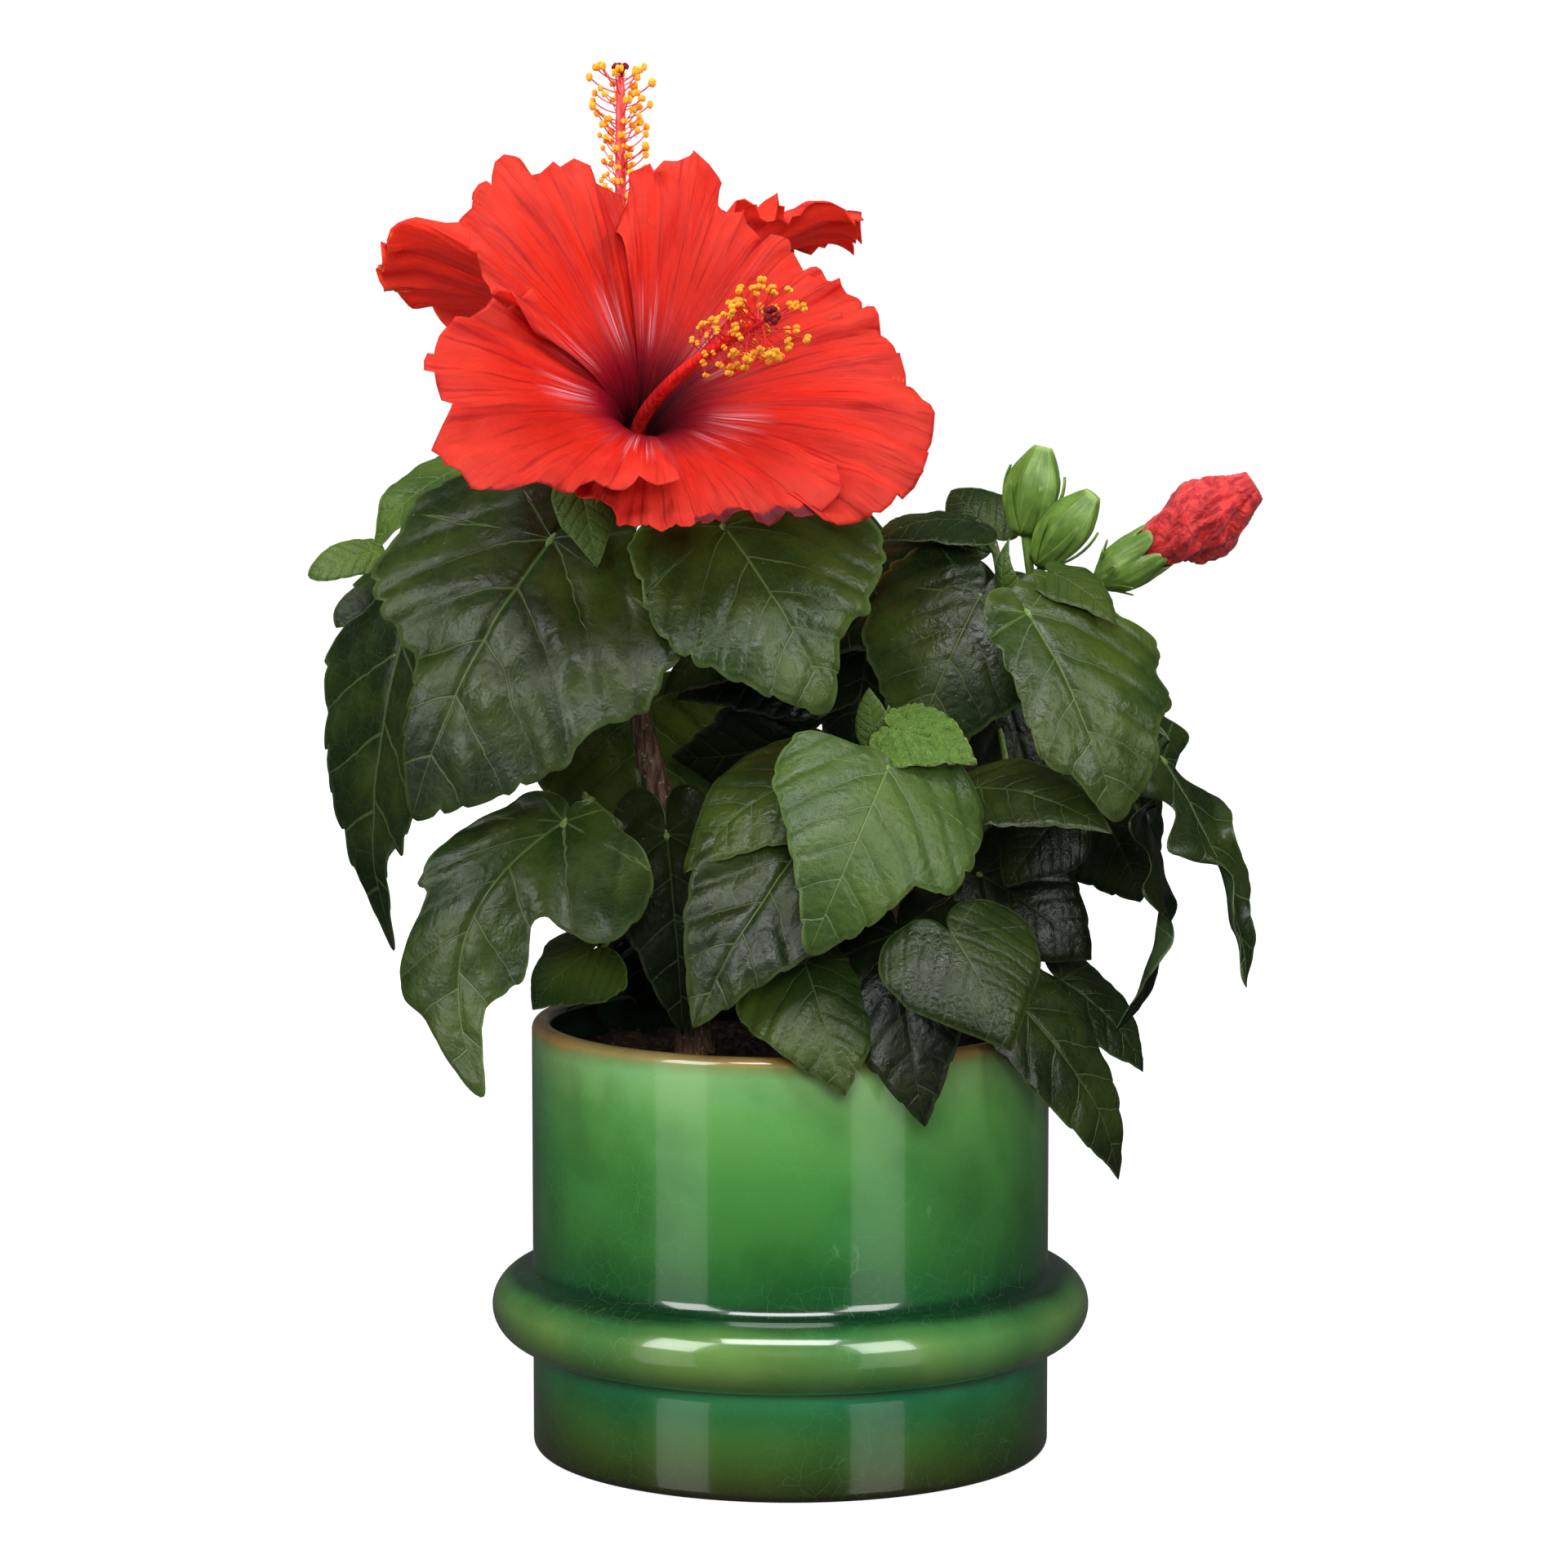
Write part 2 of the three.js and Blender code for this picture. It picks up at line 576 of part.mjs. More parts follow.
const frontFoot = addBloom("front", [-40, -45, 311], [0.22, -0.72, 0.66], FRONT_PETALS, [
  [-28, -64, 322],
  [-7, -92, 336],
]);
const backFoot = addBloom("back", [-50, 70, 328], [-0.12, 0.3, 0.945], BACK_PETALS, [
  [-51, 71, 360],
  [-51, 71, 398],
]);
addLimb("bough_front_bloom", [...sprout("stem_left", 0.95, 0), ...frontFoot], [2, 1.7]);
addLimb("bough_back_bloom", [...sprout("stem_left", 0.88, 180), [-49, 36, 262], ...backFoot], [2.1, 1.7]);

// ---------------------------------------------------------------- furled bloom and buds
// A pod on a straight axis: its radius swells and closes again, and folds run round it.
function podGeometry(foot, tip, radius, folds, twist, sides) {
  const middle = vector(foot).lerp(vector(tip), 0.5).toArray();
  const swell = (share) => Math.sin(Math.PI * mix(0.04, 0.88, share));
  const fold = (share, turn) => 1 + 0.08 * Math.cos(folds * turn + twist * share);
  return limb([foot, middle, tip], (share, turn) => radius * swell(share) * fold(share, turn), sides, 6);
}

const FURLED = {
  throat: [112, -28, 273],
  axis: [0.84, -0.11, 0.53],
  scale: 0.66, // of an open bloom's calyx; the lengths below are in that scale too
  plug: -25,
  tip: 37,
  radius: 15,
};
const furledFrame = bloomFrame(FURLED.throat, FURLED.axis).scale(new THREE.Vector3().setScalar(FURLED.scale));
addPiece("furled_calyx", calyxGeometry().applyMatrix4(furledFrame), CALYX);
const furledPod = podGeometry([0, 0, FURLED.plug], [0, 0, FURLED.tip], FURLED.radius, 3, 5, 9);
addPiece("furled_bloom", furledPod.applyMatrix4(furledFrame), PETAL);
const furledFoot = [place(furledFrame, BLOOM.foot - SPROUT), place(furledFrame, BLOOM.foot)];
const furledStalk = [...sprout("stem_right", 0.97, 70), [76, -18, 251], ...furledFoot];
addLimb("furled_bloom_stalk", furledStalk, [1.5, 1.2], CALYX);

// Buds: foot and tip of each pod. Each stalk sinks into its pod, and into the first stalk.
const BUDS = [
  { foot: [67, -11, 270], tip: [73, -10, 296], radius: 7.6 },
  { foot: [71, -16, 262], tip: [87, -20, 283], radius: 7 },
];
const budStalk = [...sprout("stem_right", 0.93, 100), [70, -7, 252], [69, -11, 262]];
const budParts = BUDS.flatMap(({ foot, tip, radius }, k) => {
  const inside = vector(foot).lerp(vector(tip), 0.15).toArray();
  const line = k === 0 ? [...budStalk, inside] : [budStalk.at(-2), inside];
  return [limb(line, () => 1.2, 5, 4), podGeometry(foot, tip, radius, 4, 0, 8)];
});
addPiece("buds", fused(budParts), CALYX);

export default root;
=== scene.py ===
import math
import random

import bpy
import numpy as np
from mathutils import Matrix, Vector, noise


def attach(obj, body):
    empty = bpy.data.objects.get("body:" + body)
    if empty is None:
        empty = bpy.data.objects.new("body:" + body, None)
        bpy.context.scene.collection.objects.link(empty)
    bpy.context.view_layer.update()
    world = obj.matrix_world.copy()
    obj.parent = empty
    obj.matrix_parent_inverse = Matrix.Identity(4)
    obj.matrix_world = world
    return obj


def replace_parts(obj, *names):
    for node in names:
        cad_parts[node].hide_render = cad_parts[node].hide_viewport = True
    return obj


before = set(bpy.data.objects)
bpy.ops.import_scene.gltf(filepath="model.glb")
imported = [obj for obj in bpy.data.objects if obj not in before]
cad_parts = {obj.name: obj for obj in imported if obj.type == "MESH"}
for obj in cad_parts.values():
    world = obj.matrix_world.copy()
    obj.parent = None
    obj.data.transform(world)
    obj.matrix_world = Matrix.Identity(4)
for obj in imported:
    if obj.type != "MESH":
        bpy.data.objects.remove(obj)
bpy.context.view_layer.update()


# ------------------------------------------------------------------ the planter
# A straight stoneware cylinder with a rounded ring thrown round it. It is dipped in a green crackle glaze
# that runs thin and golden over the lip, pools dark above and below the ring, and stops short of the foot.
PLANTER = dict(radius=76, height=128, wall=6, floor=9, edge=3, ring_height=43, ring_half=11, ring_depth=12)


def around(start, n):
    """The faces between a ring of n points and the next ring."""
    pairs = [(start + i, start + (i + 1) % n) for i in range(n)]
    return [(a, b, b + n, a + n) for a, b in pairs]


def turned(profile, segments):
    """Points and faces of a closed shape of revolution; the profile starts and ends on the axis."""
    turns = np.linspace(0, 2 * np.pi, segments, endpoint=False)
    rings = [[(r * math.cos(a), r * math.sin(a), z) for a in turns] for r, z in profile[1:-1]]
    points = [(0, 0, profile[0][1])] + [p for ring in rings for p in ring] + [(0, 0, profile[-1][1])]
    n, last = segments, len(points) - 1
    faces = [(0, 1 + (i + 1) % n, 1 + i) for i in range(n)]
    for k in range(len(rings) - 1):
        faces += around(1 + k * n, n)
    faces += [(last - n + i, last - n + (i + 1) % n, last) for i in range(n)]
    return np.array(points, float), faces


def in_scene(name, data):
    thing = bpy.data.objects.new(name, data)
    bpy.context.scene.collection.objects.link(thing)
    return thing


def placed(name, mesh):
    """A piece in the scene that rides with the plant."""
    piece = in_scene(name, mesh)
    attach(piece, "root")
    return piece


def made(name, shape, finishes, which=None, marks=None):
    """A smooth-shaded piece from its points in millimetres, its faces and its surface coordinates."""
    points, faces, *spots = shape
    mesh = bpy.data.meshes.new(name)
    mesh.from_pydata((np.asarray(points) / 1000).tolist(), [], [list(map(int, f)) for f in faces])
    for finish in finishes:
        mesh.materials.append(finish)
    mesh.polygons.foreach_set("use_smooth", [True] * len(mesh.polygons))
    if which is not None:
        mesh.polygons.foreach_set("material_index", np.asarray(which, np.int32))
    if spots:
        corners = np.zeros(len(mesh.loops), np.int32)
        mesh.loops.foreach_get("vertex_index", corners)
        layer = mesh.uv_layers.new(name="UVMap")
        layer.data.foreach_set("uv", np.asarray(spots[0], np.float32)[corners].ravel())
    for key, values in (marks or {}).items():
        mesh.attributes.new(key, "FLOAT", "POINT").data.foreach_set("value", np.asarray(values, np.float32))
    mesh.update()
    return placed(name, mesh)


def add(tree, kind, inputs=None, **settings):
    """A node with its settings, and its inputs either linked or given."""
    node = tree.nodes.new(kind)
    for key, value in settings.items():
        setattr(node, key, value)
    for key, value in (inputs or {}).items():
        if isinstance(value, bpy.types.NodeSocket):
            tree.links.new(value, node.inputs[key])
        else:
            node.inputs[key].default_value = value
    return node


def arithmetic(operation, kind="ShaderNodeMath"):
    """A sum between values, written as a node in the tree of the first value that comes from a node."""
    def sum_of(*values):
        tree = next(v for v in values if isinstance(v, bpy.types.NodeSocket)).id_data
        return add(tree, kind, dict(enumerate(values)), operation=operation).outputs[0]
    return sum_of


plus, less, times, over = (arithmetic(way) for way in ("ADD", "SUBTRACT", "MULTIPLY", "DIVIDE"))
larger, smaller, beyond = (arithmetic(way) for way in ("MAXIMUM", "MINIMUM", "GREATER_THAN"))
times_plus, size_of, fraction = (arithmetic(way) for way in ("MULTIPLY_ADD", "ABSOLUTE", "FRACT"))
shifted, stretched = (arithmetic(way, "ShaderNodeVectorMath") for way in ("ADD", "MULTIPLY"))


def distance_of(place):
    return add(place.id_data, "ShaderNodeVectorMath", {0: place}, operation="LENGTH").outputs["Value"]


def eased(value, low, high, out_low=0.0, out_high=1.0):
    """A smooth step of a value from low to high."""
    given = {"Value": value, "From Min": low, "From Max": high, "To Min": out_low, "To Max": out_high}
    return add(value.id_data, "ShaderNodeMapRange", given, interpolation_type="SMOOTHSTEP").outputs[0]


def blended(share, a, b, way="MIX"):
    """From a to b by a share; each is a colour or what comes from a node."""
    a, b = (c if isinstance(c, bpy.types.NodeSocket) else (*c, 1) for c in (a, b))
    tree = next(v for v in (share, a, b) if isinstance(v, bpy.types.NodeSocket)).id_data
    return add(tree, "ShaderNodeMix", {0: share, 6: a, 7: b}, data_type="RGBA", blend_type=way).outputs[2]


def colours_along(value, stops):
    node = add(value.id_data, "ShaderNodeValToRGB", {"Fac": value})
    ramp = node.color_ramp
    while len(ramp.elements) > 1:
        ramp.elements.remove(ramp.elements[0])
    ramp.elements[0].position, ramp.elements[0].color = stops[0][0], (*stops[0][1], 1)
    for at, colour in stops[1:]:
        ramp.elements.new(at).color = (*colour, 1)
    return node.outputs["Color"]


def grain(where, scale, detail=4.0, roughness=0.55, distortion=0.0):
    given = {"Vector": where, "Scale": scale, "Detail": detail, "Roughness": roughness,
             "Distortion": distortion}
    return add(where.id_data, "ShaderNodeTexNoise", given).outputs["Fac"]


def drawn_out(where, *scale):
    return add(where.id_data, "ShaderNodeMapping", {"Vector": where, "Scale": scale}).outputs[0]


def wandering(where, scale, reach):
    """The same coordinates, bent a little by soft noise."""
    tree = where.id_data
    noise_of = add(tree, "ShaderNodeTexNoise",
                   {"Vector": where, "Scale": scale, "Detail": 2}).outputs["Color"]
    bend = add(tree, "ShaderNodeVectorMath", {0: noise_of, 3: reach}, operation="SCALE").outputs[0]
    return shifted(where, bend)


def cells(where, scale, feature="F1"):
    given = {"Vector": where, "Scale": scale}
    return add(where.id_data, "ShaderNodeTexVoronoi", given, feature=feature).outputs["Distance"]


def new_finish(name, **settings):
    """A material with its shader's own settings, and the place on the object."""
    finish = bpy.data.materials.new(name)
    finish.use_nodes = True
    tree = finish.node_tree
    for key, value in settings.items():
        tree.nodes["Principled BSDF"].inputs[key.replace("_", " ")].default_value = value
    return finish, add(tree, "ShaderNodeTexCoord").outputs["Object"]


def finished(finish, colour, *bumps, roughness=None):
    """Joins colour, roughness and bumps to the shader; a bump is its strength, depth and height."""
    tree, given = finish.node_tree, {"Base Color": colour, "Roughness": roughness}
    for strength, depth, height in bumps:
        bump = {"Strength": strength, "Distance": depth, "Height": height}
        if "Normal" in given:
            bump["Normal"] = given["Normal"]
        given["Normal"] = add(tree, "ShaderNodeBump", bump).outputs[0]
    for name, value in given.items():
        if value is not None:
            tree.links.new(value, tree.nodes["Principled BSDF"].inputs[name])
    return finish


def crackle_glaze():
    finish, where = new_finish("crackle glaze", Specular_IOR_Level=0.5, Coat_Weight=0.65, Coat_Roughness=0.03)
    height = add(finish.node_tree, "ShaderNodeSeparateXYZ", {0: where}).outputs["Z"]
    cloudy = grain(where, 22, 3)
    # The height in a share of the planter's, moved a little up and down by the flow of the glaze.
    flow = times_plus(cloudy, 0.004, -0.002)
    share = over(plus(height, flow), PLANTER["height"] / 1000)
    body = colours_along(share, [
        (0.0, (0.014, 0.010, 0.005)), (0.022, (0.020, 0.028, 0.005)), (0.07, (0.030, 0.066, 0.009)),
        # Under the ring the glaze is a brighter teal, partly its own colour and partly painted light lifting
        # the ring's shadow.
        (0.13, (0.036, 0.115, 0.018)), (0.195, (0.026, 0.170, 0.044)), (0.235, (0.030, 0.220, 0.080)),
        # Over the ring the green is lighter, partly the glaze's own tone and partly a painted highlight.
        (0.254, (0.050, 0.110, 0.030)), (0.30, (0.090, 0.190, 0.040)), (0.365, (0.105, 0.220, 0.050)),
        (0.398, (0.040, 0.140, 0.030)), (0.414, (0.003, 0.030, 0.008)), (0.432, (0.002, 0.028, 0.008)),
        (0.455, (0.010, 0.085, 0.018)),
        (0.56, (0.026, 0.140, 0.024)), (0.72, (0.044, 0.200, 0.036)), (0.86, (0.090, 0.280, 0.062)),
        # The pale green just under the lip is partly the glaze's own tone and partly a painted reflection.
        (0.950, (0.170, 0.350, 0.110)), (0.974, (0.180, 0.250, 0.070)), (0.985, (0.270, 0.165, 0.048)),
        (1.0, (0.120, 0.070, 0.020)),
    ])
    teal = blended(eased(grain(where, 14, 2), 0.45, 0.75), (1, 1, 1), (0.45, 0.92, 1.15))
    body = blended(0.8, body, teal, "MULTIPLY")
    mottle = blended(eased(grain(where, 26, 4), 0.42, 0.66), (1.62, 1.46, 1.50), (1.02, 1.00, 0.92))
    body = blended(0.7, body, mottle, "MULTIPLY")
    body = blended(eased(grain(where, 900, 2), 0.62, 0.8, 0, 0.2), body, (0.02, 0.10, 0.03))
    # The crackle: fine pale cracks in two sizes, which wander.
    bent = wandering(where, 60, 0.006)
    wide_cracks, fine_cracks = (eased(cells(bent, scale, "DISTANCE_TO_EDGE"), 0, width, 1, 0)
                                for scale, width in ((170, 0.012), (340, 0.018)))
    crackle = larger(wide_cracks, times(fine_cracks, 0.45))
    shown = times(crackle, eased(grain(where, 30, 2), 0.35, 0.7, 0.07, 0.30))
    body = blended(shown, body, (0.20, 0.42, 0.20))
    # Inside, the glaze is painted a very dark green: painted shade within the pot.
    from_axis = distance_of(stretched(where, (1, 1, 0)))
    body = blended(eased(from_axis, 0.0705, 0.0722, 1, 0), body, (0.004, 0.012, 0.004))
    return finished(finish, body, (0.25, 0.0007, grain(where, 38, 3)), (0.05, 0.0001, wide_cracks),
                    roughness=eased(share, 0.0, 0.02, 0.7, 0.17))


def planter_profile():
    p = PLANTER
    line = [(0, 0)]

    def arc(x, z, wide, high, start, end, steps):
        for a in np.radians(np.linspace(start, end, steps + 1)):
            line.append((x + wide * math.cos(a), z + high * math.sin(a)))

    def straight(x, start, end, steps):
        line.extend((x, z) for z in np.linspace(start, end, steps + 1)[1:-1])

    line += [(r, 0) for r in (30, 60)]
    arc(p["radius"] - p["edge"], p["edge"], p["edge"], p["edge"], -90, 0, 8)
    straight(p["radius"], p["edge"], p["ring_height"] - p["ring_half"], 8)
    arc(p["radius"], p["ring_height"], p["ring_depth"], p["ring_half"], -88, 88, 32)
    lip = p["wall"] / 2
    straight(p["radius"], p["ring_height"] + p["ring_half"], p["height"] - lip, 16)
    arc(p["radius"] - lip, p["height"] - lip, lip, lip, 0, 180, 14)
    inner = p["radius"] - p["wall"]
    straight(inner, p["height"] - lip, p["floor"] + p["edge"], 12)
    arc(inner - p["edge"], p["floor"] + p["edge"], p["edge"], p["edge"], 0, -90, 4)
    line.append((0, p["floor"]))
    return line


planter = made("planter_glazed", turned(planter_profile(), 160), [crackle_glaze()])
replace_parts(planter, "planter")


# ------------------------------------------------------------------ the potting mix
# Dark peat with bark crumbs, filled to just under the lip. Its top is crumbly. The peat below is one plain
# body; the crumbs are pressed into it and lie loose on it.
def peat():
    finish, where = new_finish("peat", Specular_IOR_Level=0.2, Roughness=0.95)
    colour = colours_along(grain(where, 260, 6, 0.7), [
        (0.30, (0.006, 0.004, 0.003)), (0.52, (0.020, 0.012, 0.008)), (0.66, (0.050, 0.030, 0.018)),
        (0.76, (0.13, 0.085, 0.05)),
    ])
    return finished(finish, colour, (0.9, 0.0012, grain(where, 420, 8, 0.7)))


PEAT = peat()
packed_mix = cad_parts["potting_mix"]
packed_mix.data.materials.clear()
packed_mix.data.materials.append(PEAT)

# The crumbly top: a closed disc whose upper side is lumpy.
MIX_TOP, MIX_REACH, CRUMBS_REACH = 114, 69.6, 67.5
UNDER_LUMPS, LUMPS_FROM, LUMPS_RISE = 1, 0.3, 1.4


def waver(*place):
    """Smooth noise at each of many places; a plain number holds for all of them."""
    grids = np.broadcast_arrays(*place)
    places = zip(*(g.ravel().tolist() for g in grids))
    return np.array([noise.noise(Vector(p)) for p in places]).reshape(grids[0].shape)


rings, spokes = 46, 150
crumb_points, crumb_faces = turned(
    [(0, MIX_TOP - UNDER_LUMPS), (MIX_REACH, MIX_TOP - UNDER_LUMPS)]
    + [(MIX_REACH * (1 - k / rings), MIX_TOP + LUMPS_FROM) for k in range(rings)]
    + [(0, MIX_TOP + LUMPS_FROM)], spokes)
upper = crumb_points[:, 2] > MIX_TOP
x, y, z = crumb_points[upper].T
lumps = (waver(x * 0.06, y * 0.06, 0.18) * 2.2 + waver(x * 0.22, y * 0.22, 9 * 0.22) * 1.5
         + waver(x * 0.6, y * 0.6, 3.0) * 0.8)
crumb_points[upper, 2] = np.maximum(MIX_TOP - 0.4, z + LUMPS_RISE + lumps)
made("potting_mix_top", (crumb_points, crumb_faces), [PEAT])


def new_grower(name, base, sizes):
    """An empty tree of geometry nodes: a socket for what it grows on, and one for each size."""
    tree = bpy.data.node_groups.new(name, "GeometryNodeTree")
    kinds = {base: ("Geometry", None), **{size: ("Int" if isinstance(value, int) else "Float", value)
                                          for size, value in sizes.items()}, "Finish": ("Material", None)}
    for socket_name, (kind, value) in kinds.items():
        socket = tree.interface.new_socket(socket_name, in_out="INPUT", socket_type="NodeSocket" + kind)
        if value is not None:
            socket.default_value = value
    tree.interface.new_socket("Grown", in_out="OUTPUT", socket_type="NodeSocketGeometry")
    return tree, add(tree, "NodeGroupInput").outputs


def grower_done(tree, instances, finish):
    real = add(tree, "GeometryNodeRealizeInstances", {0: instances}).outputs[0]
    coated = add(tree, "GeometryNodeSetMaterial", {"Geometry": real, "Material": finish}).outputs[0]
    add(tree, "NodeGroupOutput", {0: coated})
    return tree


def loose_crumbs():
    """A tree that scatters lumps over the surface it is given."""
    tree, given = new_grower("loose crumbs", "Surface",
                             {"Number per square metre": 62000.0, "Size": 0.0013, "Seed": 4})
    spread = add(tree, "GeometryNodeDistributePointsOnFaces", {
        "Mesh": given["Surface"], "Density": given["Number per square metre"], "Seed": given["Seed"]})
    lump = add(tree, "GeometryNodeMeshIcoSphere", {"Radius": given["Size"], "Subdivisions": 1})
    turn, swell = (add(tree, "FunctionNodeRandomValue", {0: low, 1: high, "Seed": given["Seed"]},
                       data_type="FLOAT_VECTOR")
                   for low, high in (((0, 0, 0), (6.28, 6.28, 6.28)), ((0.35, 0.25, 0.2), (1.5, 1.0, 0.7))))
    lumps = add(tree, "GeometryNodeInstanceOnPoints", {
        "Points": spread.outputs["Points"], "Instance": lump.outputs["Mesh"], "Rotation": turn.outputs[0],
        "Scale": swell.outputs[0]})
    return grower_done(tree, lumps.outputs[0], given["Finish"])


def grown(name, base_points, base_edges, base_faces, tree, given, finish):
    """The plain mesh that a tree of geometry nodes makes from a base in millimetres."""
    base = bpy.data.meshes.new(name + " base")
    base.from_pydata((np.asarray(base_points) / 1000).tolist(), base_edges, base_faces)
    carrier = in_scene(name + " base", base)
    grower = carrier.modifiers.new("grower", "NODES")
    grower.node_group = tree
    for item in tree.interface.items_tree:
        if item.item_type == "SOCKET" and item.in_out == "INPUT" and item.name in given:
            grower[item.identifier] = given[item.name]
    ready = carrier.evaluated_get(bpy.context.evaluated_depsgraph_get())
    mesh = bpy.data.meshes.new_from_object(ready)
    carrier.modifiers.remove(grower)
    bpy.data.objects.remove(carrier)
    mesh.name = name
    mesh.materials.clear()
    mesh.materials.append(finish)
    mesh.polygons.foreach_set("material_index", np.zeros(len(mesh.polygons), np.int32))
    return placed(name, mesh)


top_faces = [f for f in crumb_faces if min(crumb_points[i][2] for i in f) > MIX_TOP - 0.5
             and max(math.hypot(*crumb_points[i][:2]) for i in f) < CRUMBS_REACH]
grown("potting_mix_crumbs", crumb_points, [], top_faces, loose_crumbs(), {"Finish": PEAT}, PEAT)


# ------------------------------------------------------------------ stems and boughs
# Woody stems that fork into thinner boughs. The bark is brown-grey, ridged lengthwise and flecked, with a
# swollen ring and a scar wherever a leaf has dropped.
CLEAR, SPROUT = 0.3, 4  # the gap between limbs, and how far a side shoot runs straight out
UP = np.array([0.0, 0.0, 1.0])


def unit(v):
    v = np.asarray(v, float)
    return v / np.linalg.norm(v, axis=-1, keepdims=True)


def facing(turn, rise):
    """A direction turned from the front towards +X, then raised, in degrees."""
    t, r = math.radians(turn), math.radians(rise)
    return np.array([math.sin(t) * math.cos(r), -math.cos(t) * math.cos(r), math.sin(r)])


def along(line, shares):
    """Points and directions at shares of the length of a smooth line through some points."""
    p = np.asarray(line, float)
    ends = np.vstack([2 * p[0] - p[1], p, 2 * p[-1] - p[-2]])
    dense = []
    for k in range(len(p) - 1):
        a, b, c, d = ends[k:k + 4]
        da, db, dc = (np.sqrt(np.linalg.norm(q)) for q in (b - a, c - b, d - c))
        m1 = ((b - a) / da - (c - a) / (da + db) + (c - b) / db) * db
        m2 = ((c - b) / db - (d - b) / (db + dc) + (d - c) / dc) * db
        t = np.linspace(0, 1, 61)[:, None]
        dense.append((2 * b - 2 * c + m1 + m2) * t ** 3 + (3 * c - 3 * b - 2 * m1 - m2) * t ** 2 + m1 * t + b)
    dense = np.vstack([dense[0]] + [part[1:] for part in dense[1:]])
    run = np.concatenate([[0], np.cumsum(np.linalg.norm(np.diff(dense, axis=0), axis=1))])
    wanted = np.asarray(shares, float) * run[-1]
    at = lambda s: np.stack([np.interp(s, run, dense[:, i]) for i in range(3)], -1)
    step = run[-1] * 0.004
    return at(wanted), unit(at(np.minimum(wanted + step, run[-1])) - at(np.maximum(wanted - step, 0)))


def tube(line, radius_at, sides, steps, ground=None):
    """A closed round limb. radius_at takes arrays of the share of its length and the angle round it."""
    shares = np.linspace(0, 1, steps + 1)
    centre, tangent = along(line, shares)
    side = unit(np.cross(tangent[0], np.eye(3)[np.argmin(np.abs(tangent[0]))]))
    turns = np.arange(sides) * 2 * np.pi / sides
    points, spots = [], []
    for k in range(steps + 1):
        side = unit(side - tangent[k] * np.dot(side, tangent[k]))
        other = np.cross(tangent[k], side)
        r = radius_at(np.full(sides, shares[k]), turns)[:, None]
        ring = centre[k] + r * (np.cos(turns)[:, None] * side + np.sin(turns)[:, None] * other)
        if ground is not None and k == 0:
            ring[:, 2] = ground
        points.append(ring)
        spots += [(shares[k], a / (2 * np.pi)) for a in turns]
    points = np.vstack(points + [centre[:1], centre[-1:]])
    if ground is not None:
        points[-2][2] = ground
    spots += [(0, 0), (1, 0)]
    faces, n = [], sides
    for k in range(steps):
        faces += around(k * n, n)
    last, foot, tip = steps * n, len(points) - 2, len(points) - 1
    for i in range(n):
        j = (i + 1) % n
        faces += [(foot, j, i), (tip, last + i, last + j)]
    return points, faces, np.array(spots)


def joined(parts):
    """Several (points, faces, spots) as one."""
    points, faces, spots, start = [], [], [], 0
    for p, f, s in parts:
        points.append(p)
        spots.append(s)
        faces += [tuple(i + start for i in face) for face in f]
        start += len(p)
    return np.vstack(points), faces, np.vstack(spots)


def woody(name, pale, dark, fleck):
    finish, where = new_finish(name, Specular_IOR_Level=0.3)
    streak = grain(drawn_out(where, 900, 900, 110), 1, 5, 0.65)
    colour = blended(eased(streak, 0.38, 0.62), dark, pale)
    colour = blended(eased(grain(where, 190, 3), 0.5, 0.75, 0, 0.6), colour, dark)
    colour = blended(eased(cells(where, 420), 0.12, 0.22, 0.75, 0), colour, fleck)
    return finished(finish, colour, (0.7, 0.0005, streak), roughness=eased(streak, 0.3, 0.7, 0.85, 0.6))


BARK = woody("bark", (0.185, 0.110, 0.068), (0.045, 0.025, 0.015), (0.30, 0.22, 0.15))


def bark_radius(radii, flare, seed, length):
    """Ridges lengthwise, a swelling every few centimetres with a scar on one side, and a flared foot."""
    knots = np.arange(14, length - 5, 19.0) / length
    rng = random.Random(seed)
    scars = [rng.uniform(0, 2 * np.pi) for _ in knots]

    def radius_at(share, turn):
        r = radii[0] + (radii[1] - radii[0]) * share
        r = r * (1 + flare * np.maximum(0, 1 - share / 0.14) ** 2)
        x, y = np.cos(turn), np.sin(turn)
        ridge = (waver(x * 2.2, y * 2.2, share * length * 0.07 + seed)
                 + 0.5 * waver(x * 5, y * 5, share * length * 0.16 + seed))
        swell = 0
        for knot, scar in zip(knots, scars):
            up, aside = (share - knot) * length, 2 * np.sin((turn - scar) / 2)
            swell = swell + 0.07 * np.exp(-(up / 2.2) ** 2)
            swell = swell + 0.22 * np.exp(-(up / 1.5) ** 2 - (aside / 0.7) ** 2)
        return r * (1 + 0.07 * ridge + swell)

    return radius_at


LIMBS = {}


def sprout(parent, at, turn=None):
    """The first points of a limb that leaves its parent's tip, or its side at a share of its length."""
    line, radii = LIMBS[parent]
    (centre,), (tangent,) = along(line, [at])
    if turn is None:
        return [tuple(centre + tangent * reach) for reach in (CLEAR, CLEAR + SPROUT)]
    out = facing(turn, 0)
    out = unit(out - tangent * np.dot(out, tangent))
    foot = centre + out * (radii[0] + (radii[1] - radii[0]) * at + CLEAR)
    return [tuple(foot), tuple(foot + out * SPROUT)]


def rooted(line):
    """The same line, begun a little inside its parent so that the two grow together."""
    first, second = np.array(line[0]), np.array(line[1])
    return [tuple(first - unit(second - first) * 1.6)] + [tuple(p) for p in line[1:]]


def length_of(line):
    return float(np.sum(np.linalg.norm(np.diff(np.array(line), axis=0), axis=1)))


def seed_of(name):
    return sum(map(ord, name))


